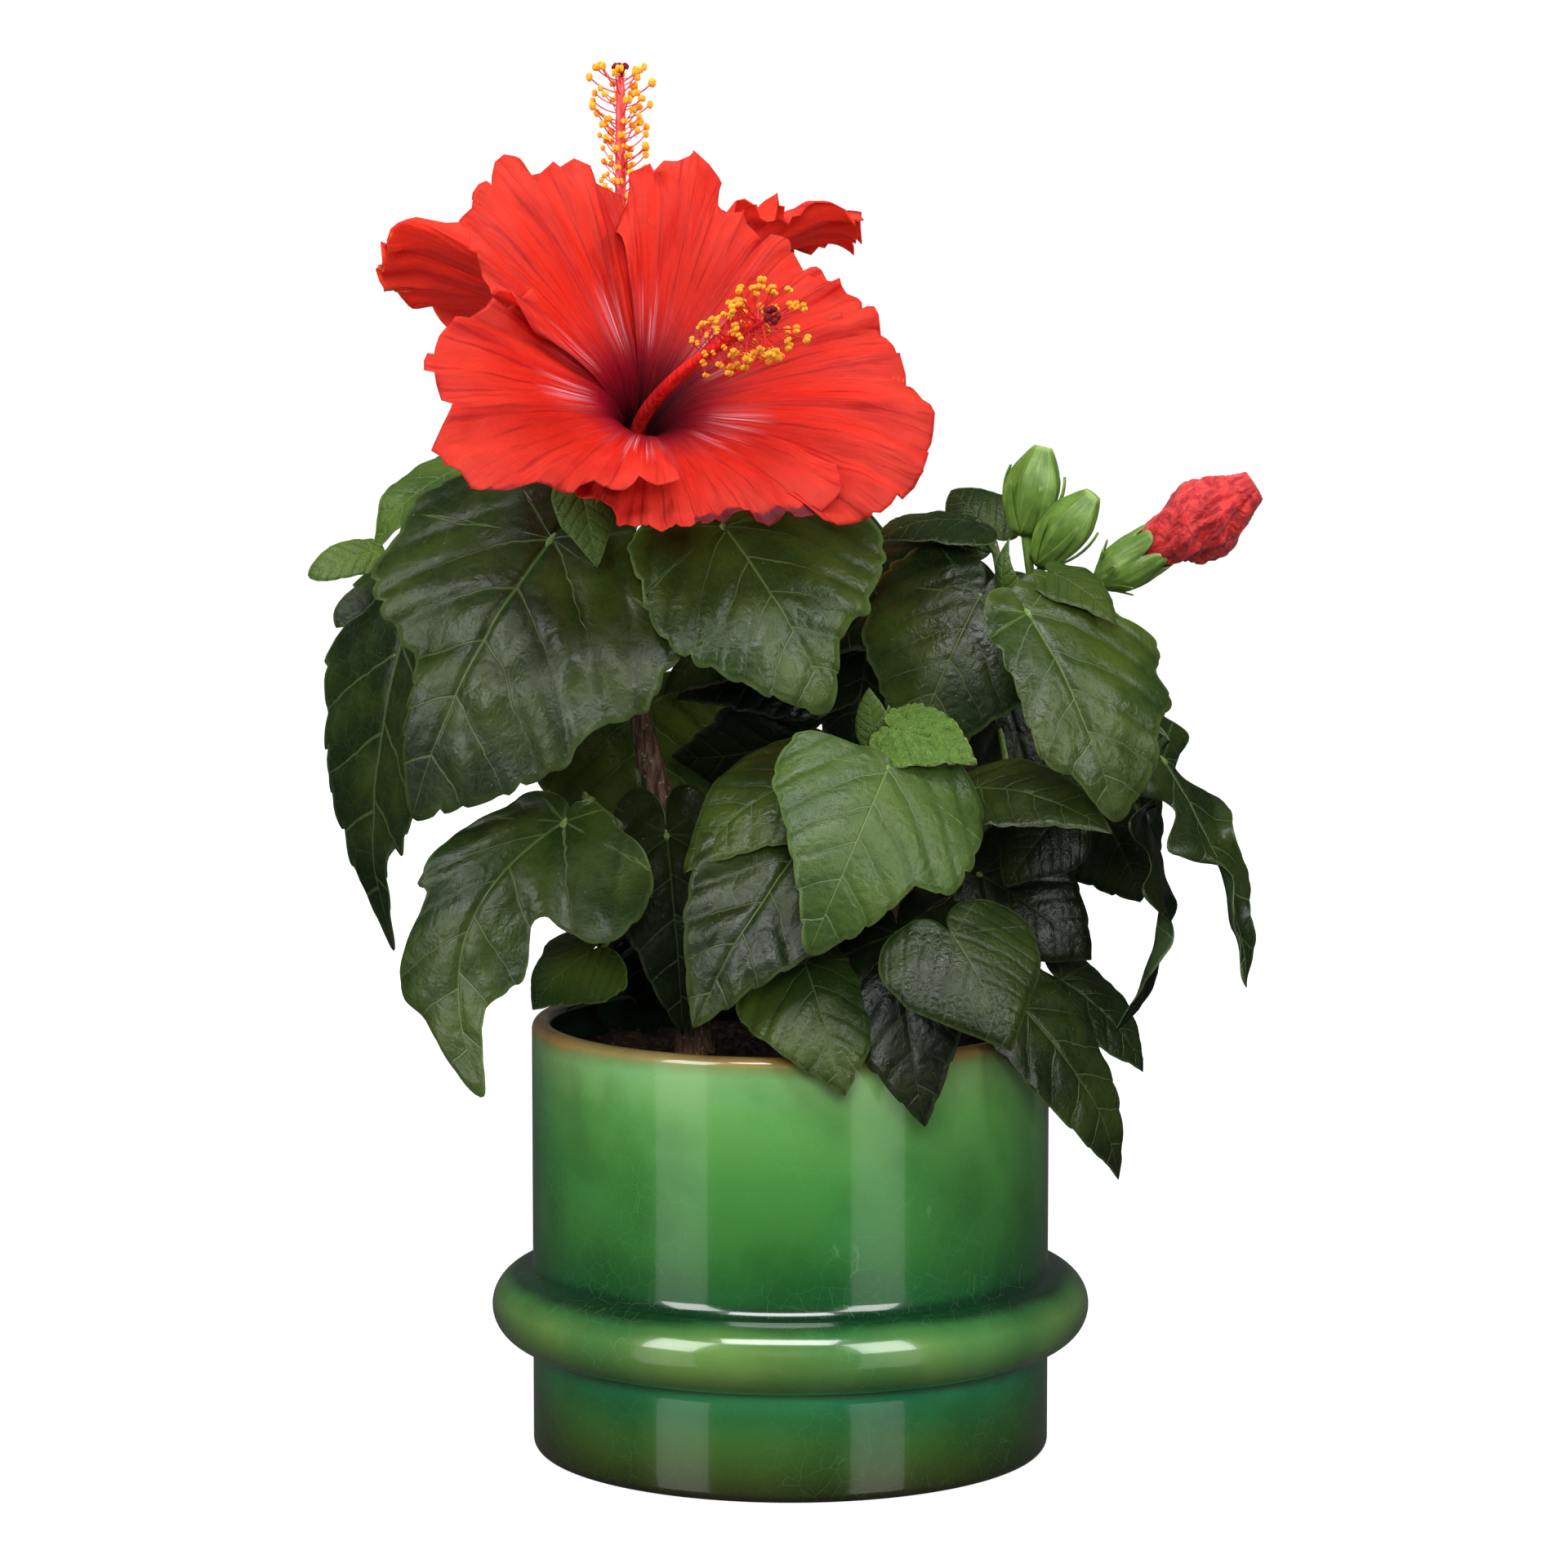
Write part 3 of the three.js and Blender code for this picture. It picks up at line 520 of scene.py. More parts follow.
def bark_limb(name, line, radii):
    LIMBS[name] = (line, radii)
    standing = name.startswith("stem")
    drawn = [tuple(p) for p in line] if standing else rooted(line)
    length = length_of(drawn)
    radius_at = bark_radius(radii, 0.5 if standing else 0.35, seed_of(name), length)
    shape = tube(drawn, radius_at, 26, max(14, int(length / 1.1)), MIX_TOP - 0.5 if standing else None)
    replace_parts(made(name + "_bark", shape, [BARK]), name)


STEM_FOOT = MIX_TOP + CLEAR
bark_limb("stem_left", [(-28, 6, STEM_FOOT), (-33, 3, 172), (-43, 1, 212), (-51, 1, 258)], (4.6, 3))
bark_limb("stem_right", [(22, 2, STEM_FOOT), (32, 2, 155), (48, 0, 205), (60, -3, 246)], (4.2, 2.6))
bark_limb("stem_back", [(4, 30, STEM_FOOT), (6, 38, 155), (2, 46, 205), (-2, 50, 238)], (4, 2.4))
bark_limb("bough_centre", [*sprout("stem_right", 0.3, -25), (24, -26, 172), (22, -36, 190)], (2.4, 1.8))
bark_limb("bough_low_front", [*sprout("stem_right", 0.17, 10), (28, -26, 142), (30, -42, 148)], (2.3, 1.7))
bark_limb("bough_right", [*sprout("stem_right", 0.68, 95), (70, 2, 210), (86, 0, 216)], (2.2, 1.6))


# ------------------------------------------------------------------ leaves
# Broad toothed leaves with a long drip tip, a midrib, side veins that arch to the margin and a pale
# underside. Each is one closed blade, quilted between its veins, on its own stalk.
OUTLINE = [(0, 1), (5, 0.915), (11, 0.83), (26, 0.68), (48, 0.575), (75, 0.49), (105, 0.42), (135, 0.33),
           (160, 0.22), (174, 0.12), (180, 0.05)]
NATURAL_WIDTH = 0.97
BLADE_THICK = 0.45
EDGE_STEP, RING_STEP = 1.3, 3.8  # how far apart the points of a margin and its rings lie
TEETH = dict(apart=9.0, least=0.105, deep=0.030, bare_tip=0.05, bare_base=0.80)
QUILT = dict(between_veins=0.0080, uneven=0.0125, midrib_deep=0.008, midrib_wide=0.014)
# Side veins: how far they lean forward, how they curve, how far apart they leave the midrib, by how much
# the left ones start later than the right ones, and how far one leaf differs from the next in this.
VEINS = dict(lean=0.70, curve=0.95, apart=0.20, later=0.05, differ=0.30)


def smooth_through(x, table):
    """A curve through a table of (x, y) without corners."""
    xs, ys = (np.array(c, float) for c in zip(*table))
    slope = np.gradient(ys, xs)
    k = np.clip(np.searchsorted(xs, x, side="right") - 1, 0, len(xs) - 2)
    h = xs[k + 1] - xs[k]
    t = np.clip((x - xs[k]) / h, 0, 1)
    return ((2 * t ** 3 - 3 * t ** 2 + 1) * ys[k] + (t ** 3 - 2 * t ** 2 + t) * h * slope[k]
            + (3 * t ** 2 - 2 * t ** 3) * ys[k + 1] + (t ** 3 - t ** 2) * h * slope[k + 1])


def leaf(joint, tip, width, face, tint="deep", **bends):
    """Sizes as in the solids: joint and tip, width, where the upper side faces, and how the blade bends."""
    plain = dict(arch=0.08, cup=0.1, bow=0, hook=0.05, waves=0.012, teeth=1.0, quilt=1.0, rim=None, lobes=0,
                 crinkle=0)
    return plain | dict(joint=joint, tip=tip, width=width, face=face, tint=tint) | bends


def blade_axes(shape):
    lengthwise = np.array(shape["tip"], float) - shape["joint"]
    length = np.linalg.norm(lengthwise)
    lengthwise /= length
    out = facing(*shape["face"])
    out = unit(out - lengthwise * np.dot(out, lengthwise))
    return length, lengthwise, out, np.cross(lengthwise, out)


def vein_phase(s, t, own):
    """How far a point lies between one side vein and the next, from 0 to 1; own is the leaf's own number."""
    side = np.abs(t)
    lean = VEINS["lean"] + VEINS["differ"] * (own - 0.5)
    start = s - lean * side - VEINS["curve"] * side ** 2 - np.where(t > 0, VEINS["later"] * own * 2, 0)
    return start, (start / VEINS["apart"]) % 1


def blade(shape, seed):
    """Points, faces, leaf coordinates and margin marks of one closed blade, with the faces' finish."""
    length, lengthwise, out, across = blade_axes(shape)
    rng = random.Random(seed)
    own = rng.random()
    widen = shape["width"] / (length * NATURAL_WIDTH)
    angles = np.linspace(-180, 180, 1441)
    if shape["rim"]:
        reach, widen = smooth_through(angles, shape["rim"]), 1.05
    else:
        reach = smooth_through(np.abs(angles), OUTLINE)
        reach = reach * (1 + 0.05 * waver(angles / 26, seed * 1.7, 0) * np.clip(np.abs(angles) / 25, 0, 1))
    x, y = reach * np.cos(np.radians(angles)), reach * np.sin(np.radians(angles)) * widen
    run = np.concatenate([[0], np.cumsum(np.hypot(np.diff(x), np.diff(y)))])
    total = run[-1]
    finer = 2.2 if shape["crinkle"] else 1
    count = int(np.clip(total * length / EDGE_STEP * finer, 44, 176)) // 2 * 2
    spot = np.linspace(0, total, count, endpoint=False)
    angle, reach = np.interp(spot, run, angles), np.interp(spot, run, reach)
    # Teeth: rounded, uneven, with a sharp notch between two, and leaning to the tip. The base has none.
    tip_run = np.interp(0, angles, run)
    from_tip = np.abs(spot - tip_run)
    spacing = max(TEETH["apart"] / length, TEETH["least"])
    warped = from_tip / spacing + 0.6 * waver(from_tip * 7, seed * 3.1, angle > 0)
    step = warped % 1
    size = np.array([0.35 + 1.1 * random.Random(seed * 91 + int(w) * 2 + int(a > 0)).random()
                     for w, a in zip(warped, angle)])
    tooth = np.sin(np.pi * step ** 0.8) ** 0.6
    fade = np.clip((from_tip - TEETH["bare_tip"]) / 0.06, 0, 1)
    fade = fade * np.clip((TEETH["bare_base"] * total / 2 - from_tip) / 0.12, 0, 1)
    reach = reach + shape["teeth"] * TEETH["deep"] * (tooth - 0.75) * size * fade
    rings = int(np.clip(length / RING_STEP, 8, 22) * finer)
    share = (np.arange(1, rings + 1) / rings) ** 0.92
    s = np.concatenate([[0], np.outer(share, reach * np.cos(np.radians(angle))).ravel()])
    t = np.concatenate([[0], np.outer(share, reach * np.sin(np.radians(angle)) * widen).ravel()])
    t = t * (1 + shape["lobes"] * np.sin(2 * np.pi * 3.1 * s + np.where(t > 0, 0.6, 3.4)))
    margin = np.concatenate([[0], np.repeat(share, count)])
    turned_by = np.concatenate([[0], np.tile(np.radians(angle), rings)])
    # How the blade bends, as in the solids, then its wavy margin, its quilting and its sunken veins.
    rise = np.where(s > 0, 4 * s * (1 - s), 4 * s)
    hooked = np.maximum(0, s - 0.5) ** 2 * 4
    height = shape["arch"] * rise - shape["cup"] * 4 * t ** 2 - shape["hook"] * hooked
    phase = rng.uniform(0, 6.28)
    swing = np.sin(turned_by * 5 + phase) + 0.7 * np.sin(turned_by * 9 + phase * 2)
    height = height + shape["waves"] * margin ** 3 * swing
    _, step = vein_phase(s, t, own)
    quilt = np.sin(np.pi * step) * np.clip(np.abs(t) / 0.10, 0, 1) * np.clip(margin * 2, 0, 1)
    rough = waver(s * 5, t * 5, seed * 2.3) * 1.3 + 0.40 * waver(s * 13, t * 13, seed)
    midrib = np.exp(-(t / QUILT["midrib_wide"]) ** 2) * np.clip(1.1 - s, 0, 1)
    height = height + shape["quilt"] * (QUILT["between_veins"] * quilt - QUILT["midrib_deep"] * midrib
                                        + QUILT["uneven"] * rough * np.clip(margin * 2.5, 0, 1))
    if shape["crinkle"]:
        height = height + shape["crinkle"] * np.abs(waver(s * 11, t * 11, seed))
    bowed = np.where(s > 0, shape["bow"] * 4 * s * (1 - s), 0)
    top = (np.array(shape["joint"], float) + np.outer(s * length, lengthwise)
           + np.outer((t + bowed) * length, across) + np.outer(height * length, out))
    faces = [(0, 1 + i, 1 + (i + 1) % count) for i in range(count)]
    for k in range(rings - 1):
        faces += [(a, d, c, b) for a, b, c, d in around(1 + k * count, count)]
    # The underside lies one thickness behind, and a rim of small faces closes the margin.
    normal = np.zeros_like(top)
    for f in faces:
        n = np.cross(top[f[1]] - top[f[0]], top[f[2]] - top[f[0]])
        for i in f:
            normal[i] += n
    n, outer = len(top), 1 + (rings - 1) * count
    # A blade's upper side must face outwards; the loop above runs either way round.
    flipped = np.dot(normal[0], out) < 0
    if flipped:
        faces = [tuple(reversed(f)) for f in faces]
        normal = -normal
    under = top - unit(normal) * BLADE_THICK * (1 - 0.45 * margin[:, None] ** 4)
    rim = []
    for i in range(count):
        a, b = outer + i, outer + (i + 1) % count
        rim.append((a, b, b + n, a + n) if flipped else (b, a, a + n, b + n))
    back = [tuple(i + n for i in reversed(f)) for f in faces]
    spots = np.column_stack([np.tile(s, 2), np.tile(t, 2), np.tile(margin, 2), np.full(2 * n, own)])
    sides = [0] * len(faces) + [1] * (len(back) + len(rim))
    return np.vstack([top, under]), faces + back + rim, spots, sides


STALK_RISE = dict(lower=14, spring=0.28, bend=0.35, sink=0.5)


def stalk(shape, shoot_line):
    """A leaf stalk: from the shoot near the joint, outwards and up, and into the blade from behind."""
    length, lengthwise, out, _ = blade_axes(shape)
    joint = np.array(shape["joint"], float)
    aim = joint - UP * STALK_RISE["lower"]
    places, _ = along(shoot_line, np.linspace(0.25, 1, 16))
    foot = places[np.argmin(np.linalg.norm(places - aim, axis=1))]
    end = joint - out * STALK_RISE["sink"]
    span = np.linalg.norm(end - foot)
    first = foot + (unit(end - foot) + 0.5 * UP) * span * STALK_RISE["spring"]
    last = end - unit(0.5 * lengthwise + out) * span * STALK_RISE["bend"]
    u = np.linspace(0, 1, 9)[:, None]
    line = (1 - u) ** 3 * foot + 3 * (1 - u) ** 2 * u * first + 3 * (1 - u) * u ** 2 * last + u ** 3 * end
    # It runs on a little way along the midrib, under the blade.
    line = np.vstack([line, joint + lengthwise * 0.035 * length - out * (BLADE_THICK + 0.3)])
    thick = min(1.15, 0.55 + 0.009 * length)

    def radius_at(share, turn):
        swell = 0.5 * np.exp(-(share / 0.05) ** 2) + 0.25 * np.exp(-((share - 0.9) / 0.05) ** 2)
        return thick * (1 + swell - 0.2 * share) * (1 + 0.06 * np.cos(3 * turn))

    return tube([tuple(p) for p in line], radius_at, 8, max(10, int(span / 2.2)))


def spots_on(tree):
    """A piece's own surface coordinates."""
    return add(tree, "ShaderNodeUVMap", uv_map="UVMap").outputs[0]


def mark_on(tree, name):
    """The value that each point of a piece carries under a name."""
    return add(tree, "ShaderNodeAttribute", attribute_name=name).outputs["Fac"]


def leaf_green(name, blade_colour, patch_colour, vein_colour, gloss, vein_depth, crinkle=0.0):
    """Leaf skin: veins drawn in the leaf's own coordinates, a fine net between them, and a waxy sheen."""
    finish, where = new_finish(name, Specular_IOR_Level=0.28)
    tree = finish.node_tree
    spots = spots_on(tree)
    split = add(tree, "ShaderNodeSeparateXYZ", {0: spots}).outputs
    s, t = split["X"], split["Y"]
    side, is_left = size_of(t), beyond(t, 0.0)
    own = mark_on(tree, "own")
    # How far on from the last side vein a place is, as vein_phase has it, in shares of the blade's length.
    lean = times_plus(own, VEINS["differ"], VEINS["lean"] - VEINS["differ"] / 2)
    start = less(less(s, times(side, lean)), times(times(side, side), VEINS["curve"]))
    start = less(start, times(times(is_left, own), VEINS["later"] * 2))
    # Every leaf takes its unevenness from another place of the noise.
    elsewhere = add(tree, "ShaderNodeCombineXYZ", {"X": times(own, 40.0), "Y": is_left}).outputs[0]
    apart = shifted(spots, elsewhere)
    wobble = times(times_plus(grain(apart, 5, 3), 0.10, -0.05), eased(side, 0.0, 0.12))
    start = plus(start, wobble)
    step = fraction(over(start, VEINS["apart"]))
    near = times(smaller(step, less(1.0, step)), VEINS["apart"] * 0.74)
    # A vein is thinner towards the margin.
    width = larger(times_plus(side, -0.0090, 0.0046), 0.0011)
    laterals = times(less(1.0, eased(over(near, width), 0.35, 1.25)), beyond(start, -0.06))
    laterals = times(laterals, eased(side, 0.08, 0.42, 1.0, 0.35))
    midrib_width = larger(times_plus(s, -0.0080, 0.0095), 0.0018)
    midrib = times(less(1.0, eased(over(side, midrib_width), 0.35, 1.15)), beyond(s, 0.0))
    veins = larger(laterals, midrib)
    for turn in (78, 122):  # the two veins that run from the joint into each lobe of the base
        c, d = math.cos(math.radians(turn)), math.sin(math.radians(turn))
        off = size_of(plus(size_of(less(times(s, d), times(side, c))), times(wobble, 0.6)))
        ahead = beyond(plus(times(s, c), times(side, d)), 0.0)
        veins = larger(veins, times(times(less(1.0, eased(off, 0.0010, 0.0042)), ahead), 0.85))
    bent = wandering(spots, 14, 0.03)
    net, fine = (cells(bent, scale, "DISTANCE_TO_EDGE") for scale in (17, 52))
    colour = blended(eased(grain(where, 32, 3), 0.35, 0.7), blade_colour, patch_colour)
    # Darker beside each side vein: painted shade in the sunken vein grooves.
    vein_groove_shade = less(1.0, eased(near, 0.0, 0.05))
    colour = blended(times(vein_groove_shade, 0.30), colour, tuple(c * 0.55 for c in blade_colour))
    colour = blended(times(less(1.0, eased(net, 0.0, 0.07)), 0.07), colour, vein_colour)
    colour = blended(times(less(1.0, eased(fine, 0.0, 0.10)), 0.05), colour, vein_colour)
    colour = blended(times(veins, 0.54), colour, vein_colour)
    margin = mark_on(tree, "margin")
    colour = blended(eased(margin, 0.955, 1.0, 0, 0.55), colour, vein_colour)
    colour = blended(eased(cells(where, 300), 0.03, 0.06, 0.35, 0), colour, (0.42, 0.46, 0.36))
    height = times_plus(eased(net, 0.0, 0.42), 0.30 + crinkle, times(eased(fine, 0, 0.4), 0.10 + crinkle))
    height = times_plus(eased(near, 0.0, 0.04), 0.45, plus(height, times(veins, vein_depth)))
    return finished(finish, colour, (0.55, 0.0006, height),
                    roughness=eased(grain(where, 130, 3), 0.3, 0.75, gloss, gloss + 0.16))


# Upper sides by tint, and the undersides of full-grown and young leaves.
# The darkest tint, near black, is painted shade for leaves deep inside the bush and in others' shadow.
GREENS = {
    "painted_shade": leaf_green("leaf painted shade green", (0.0030, 0.007, 0.0020), (0.009, 0.016, 0.003), (0.038, 0.058, 0.020),
                      0.30, -0.6),
    "deep": leaf_green("leaf deep green", (0.006, 0.014, 0.003), (0.026, 0.044, 0.005), (0.085, 0.13, 0.040),
                       0.30, -0.6),
    "mid": leaf_green("leaf green", (0.013, 0.030, 0.005), (0.042, 0.068, 0.007), (0.115, 0.17, 0.050), 0.29,
                      -0.6),
    "fresh": leaf_green("leaf fresh green", (0.028, 0.062, 0.011), (0.062, 0.104, 0.014), (0.15, 0.22, 0.070),
                        0.32, -0.6),
    "young": leaf_green("leaf young", (0.080, 0.160, 0.022), (0.110, 0.205, 0.030), (0.21, 0.30, 0.085), 0.34,
                        -0.9, 0.9),
}
UNDERSIDES = {
    "deep": leaf_green("underside", (0.036, 0.064, 0.022), (0.048, 0.084, 0.028), (0.13, 0.18, 0.075), 0.50,
                       0.9),
    "young": leaf_green("underside young", (0.085, 0.150, 0.038), (0.110, 0.185, 0.050), (0.20, 0.28, 0.11),
                        0.50, 0.9),
}
TINTS = list(GREENS)
LEAF_FINISHES = list(GREENS.values()) + list(UNDERSIDES.values())
SHOOT_GREEN = woody("green shoot", (0.16, 0.20, 0.07), (0.075, 0.085, 0.030), (0.30, 0.30, 0.18))
STALK_GREEN = woody("leaf stalk", (0.17, 0.27, 0.075), (0.105, 0.165, 0.045), (0.27, 0.30, 0.13))

SPRAYS = {}


def spray(name, line, leaves):
    """One shoot with its stalked leaves, told apart by the name of its mass."""
    SPRAYS[name] = (line, leaves)


spray("foliage_upper_left", [*sprout("stem_left", 1), (-62, -4, 272), (-80, -6, 290)], [
    leaf((-68, -42, 272), (-108, -64, 196), 82, (-18, 22), "deep", arch=0.1, cup=0.06, quilt=1.2,
         rim=[(-180, 0.14), (-161, 0.19), (-116, 0.275), (-95, 0.334), (-82, 0.447), (-75, 0.563),
              (-64, 0.606), (-56, 0.666), (-49, 0.677),
              (-38, 0.71), (-33, 0.77), (-23, 0.83), (-15, 0.885), (-5, 0.962), (0, 1), (5, 0.867),
              (9, 0.759), (14.6, 0.618), (24, 0.575),
              (38, 0.571), (55, 0.569), (67, 0.507), (83, 0.495), (94, 0.465), (104, 0.418), (135, 0.349),
              (160, 0.24), (180, 0.14)]),
    leaf((-59, -56, 287), (-54, -67, 266), 18, (0, 30), "fresh", teeth=0.2),
    leaf((-94, 8, 290), (-124, 0, 268), 28, (-35, 45), "fresh", hook=0.1, waves=0.03),
    leaf((-121, -1, 265), (-140, -7, 259), 12, (-20, 25), "fresh", teeth=1.2,
         rim=[(-180, 0.15), (-120, 0.25), (-60, 0.36), (-30, 0.55), (-12, 0.86), (0, 1), (12, 0.80),
              (30, 0.52), (60, 0.30), (120, 0.2), (180, 0.15)]),
    leaf((-106, 0, 262), (-122, 8, 146), 53, (-50, 10), "deep", arch=0.1, cup=-0.08, bow=-0.03, teeth=1.3,
         rim=[(-180, 0.05), (-140, 0.08), (-90, 0.15), (-63, 0.28), (-41, 0.44), (-29, 0.57), (-18, 0.637),
              (-11, 0.719), (-3.4, 0.80), (0, 1), (4.6, 0.82),
              (11, 0.69), (20, 0.565), (29, 0.475), (40, 0.355), (63, 0.235), (90, 0.13), (140, 0.08),
              (180, 0.05)]),
    leaf((-90, 22, 276), (-106, 34, 236), 36, (-60, 40), "mid"),
])
spray("foliage_upper_middle", [*sprout("stem_left", 0.9, 60), (-38, -14, 256), (-28, -24, 266)], [
    leaf((-19, -50, 276), (12, -72, 228), 73, (8, 28), "mid", cup=0.08, quilt=1.1,
         rim=[(-180, 0.12), (-140, 0.36), (-110, 0.50), (-80, 0.62), (-56, 0.72), (-44, 0.748), (-34, 0.74),
              (-28, 0.774), (-20, 0.75), (-13.7, 0.775), (-6.6, 0.874),
              (0, 1), (10.5, 0.923), (24.6, 0.792), (46, 0.66), (60, 0.58), (80, 0.463), (109, 0.424),
              (140, 0.30), (180, 0.12)]),
    leaf((2, -6, 252), (-38, -2, 224), 46, (0, 50), "painted_shade"),
])
spray("foliage_low_left", [*sprout("stem_left", 0.45, -40), (-52, -14, 188), (-60, -20, 196)], [
    leaf((-65, -34, 190), (-85, -48, 112), 80, (-12, 35), "mid", bow=0.22, hook=-0.1, teeth=0.45, quilt=0.8,
         rim=[(-180, 0.05), (-140, 0.12), (-112, 0.16), (-93, 0.215), (-82, 0.347), (-70, 0.495),
              (-58, 0.569), (-47, 0.575), (-40, 0.484), (-32, 0.407),
              (-27.5, 0.44), (-24, 0.57), (-16, 0.646), (-7, 0.74), (0, 1), (10.6, 0.80), (16, 0.77),
              (19, 0.70), (22.5, 0.53), (37, 0.406), (55, 0.332),
              (69, 0.279), (106, 0.19), (140, 0.12), (180, 0.05)]),
    leaf((-59, -6, 148), (-76, -10, 132), 34, (-20, 50), "mid"),
    # This near-black leaf before the lower stem is painted shade, put where the bush is only dark.
    leaf((-36, -14, 184), (-31, -24, 126), 36, (5, 12), "painted_shade"),
])
spray("foliage_low_back_left", [*sprout("stem_left", 0.3, 180), (-40, 20, 170), (-44, 28, 186)], [
    leaf((-41, 25, 169), (-44, 40, 122), 46, (0, 10), "painted_shade"),
    leaf((-46, 35, 213), (-42, 27, 160), 66, (0, 20), "mid"),
])
spray("foliage_middle", [*sprout("stem_right", 0.55, -80), (28, 0, 200), (14, 2, 208)], [
    leaf((8, 5, 235), (-34, 2, 222), 46, (0, 50), "painted_shade"),
    leaf((3, 15, 209), (-35, 15, 202), 42, (0, -30), "painted_shade"),
    leaf((24, 4, 246), (17, -2, 200), 48, (0, 15), "painted_shade"),
])
spray("foliage_centre", [*sprout("bough_centre", 1), (21, -48, 200), (22, -52, 208)], [
    leaf((27, -76, 210), (5, -99, 162), 58, (10, 30), "fresh", quilt=0.35, teeth=0.9,
         rim=[(-180, 0.05), (-156, 0.186), (-134, 0.322), (-109, 0.417), (-93, 0.491), (-72, 0.558),
              (-56, 0.633), (-44, 0.66), (-36, 0.607), (-21, 0.72),
              (-10, 0.872), (-3, 0.98), (0, 1), (8, 0.832), (22, 0.665), (43, 0.552), (58, 0.543),
              (70, 0.513), (85, 0.468), (95, 0.426), (106, 0.236),
              (127, 0.142), (180, 0.05)]),
    leaf((4, -50, 206), (-31, -61, 180), 40, (-20, 45), "mid"),
    leaf((10, -56, 195), (-28, -82, 139), 60, (-8, 33), "deep", quilt=1.6, teeth=0.8),
    leaf((30, -66, 220), (52, -76, 212), 24, (0, 42), "young", quilt=1.4, crinkle=0.10),
    leaf((24, -50, 216), (22, -47, 230), 12, (-20, 0), "fresh", teeth=0.3),
    leaf((21, -58, 210), (3, -64, 219), 9, (-20, 55), "fresh", teeth=0.5, arch=-0.1, cup=0.8),
    leaf((27, -54, 214), (28, -58, 226), 8, (30, 10), "fresh", teeth=0.4, cup=0.9),
])
spray("foliage_upper_right", [*sprout("stem_right", 1), (61, -4, 258), (59, -4, 268)], [
    leaf((67, -55, 252), (92, -75, 196), 64, (15, 30), "mid", quilt=1.1, teeth=0.8,
         rim=[(-180, 0.14), (-150, 0.20), (-114, 0.25), (-90, 0.32), (-71, 0.405), (-60, 0.573), (-51, 0.617),
              (-44, 0.62), (-40, 0.70), (-33, 0.74), (-26.5, 0.735),
              (-18.6, 0.839), (-7, 0.945), (0, 1), (9, 0.80), (21, 0.665), (25, 0.55), (32, 0.39), (46, 0.29),
              (70, 0.22), (110, 0.19), (165, 0.17), (180, 0.14)]),
    leaf((75, -42, 262), (92, -56, 249), 21, (20, 55), "mid", teeth=1.3, quilt=1.2),
    leaf((62, -30, 252), (60, -33, 270), 9, (-30, 10), "fresh", teeth=0.6, cup=0.8, hook=0.3),
    leaf((70, -24, 260), (80, -30, 254), 8, (30, 30), "fresh", teeth=0.6, cup=0.6),
    leaf((54, -28, 254), (33, -43, 208), 62, (-5, 25), "deep", waves=0.02, quilt=0.45),
    leaf((50, -10, 275), (24, -20, 270), 32, (0, 75), "deep"),
    leaf((58, 4, 270), (47, 18, 282), 26, (0, 20), "deep"),
    leaf((44, -12, 262), (10, -26, 238), 48, (-10, 40), "painted_shade"),
])
spray("foliage_right", [*sprout("bough_right", 1), (93, -2, 215), (99, -5, 208)], [
    leaf((108, -15, 206), (136, -30, 143), 32, (60, 10), "deep", arch=0.02, bow=-0.06, hook=0, waves=0.05,
         teeth=0.5, lobes=0.42),
    leaf((104, -10, 188), (102, -20, 126), 30, (80, 0), "painted_shade", waves=0.05, teeth=0.4, lobes=0.35),
    leaf((90, 10, 190), (104, 12, 160), 44, (30, -10), "painted_shade"),
])
spray("foliage_middle_right", [*sprout("stem_right", 0.5, 60), (62, -10, 190), (66, -14, 194)], [
    leaf((53, -50, 202), (90, -72, 193), 34, (0, 55), "deep"),
    leaf((76, -30, 190), (61, -40, 172), 28, (0, 20), "painted_shade"),
    leaf((55, -14, 172), (88, -18, 148), 50, (10, 30), "painted_shade"),
    leaf((60, 6, 230), (73, 0, 184), 42, (10, 15), "painted_shade"),
])
spray("foliage_low_front", [*sprout("bough_low_front", 1), (29, -52, 152), (28, -58, 156)], [
    leaf((45, -88, 165), (61, -102, 135), 48, (10, 34), "deep", quilt=0.1, teeth=0.25),
    leaf((30, -64, 162), (37, -90, 112), 46, (-10, 20), "painted_shade"),
    leaf((4, -65, 154), (15, -88, 120), 46, (0, 25), "mid"),
])
spray("foliage_low_right", [*sprout("stem_right", 0.12, 80), (46, -8, 140), (56, -14, 143)], [
    leaf((67, -42, 137), (97, -34, 86), 36, (30, 40), "deep"),
    leaf((79, -14, 141), (104, -16, 115), 32, (30, 50), "deep"),
])

# At the back the leaves stand in fans, set round each shoot by the golden angle; the upper ones stand out
# further.
FAN = dict(turn=137.5, stalk=24, drop=0.86, lift=6)


def fan(name, start, rest, looks, spread, count, length, rise):
    leaves = []
    for k in range(count):
        share = (0.5 + k * FAN["turn"] / 360) % 1
        turn = looks + spread * (share - 0.5)
        out = facing(turn, 0)
        size = length * (1 - 0.25 * k / count)
        reach = FAN["stalk"] * (0.7 + 0.7 * k / count)
        joint = np.array(rest[-1]) + out * reach + UP * (rise * k / count + FAN["lift"])
        tip = joint + out * size * 0.42 - UP * size * FAN["drop"]
        leaves.append(leaf(tuple(joint), tuple(tip), size * 0.75, (turn, 28),
                           ("mid", "deep", "deep", "fresh")[k]))
    spray(name, [*start, *rest], leaves)


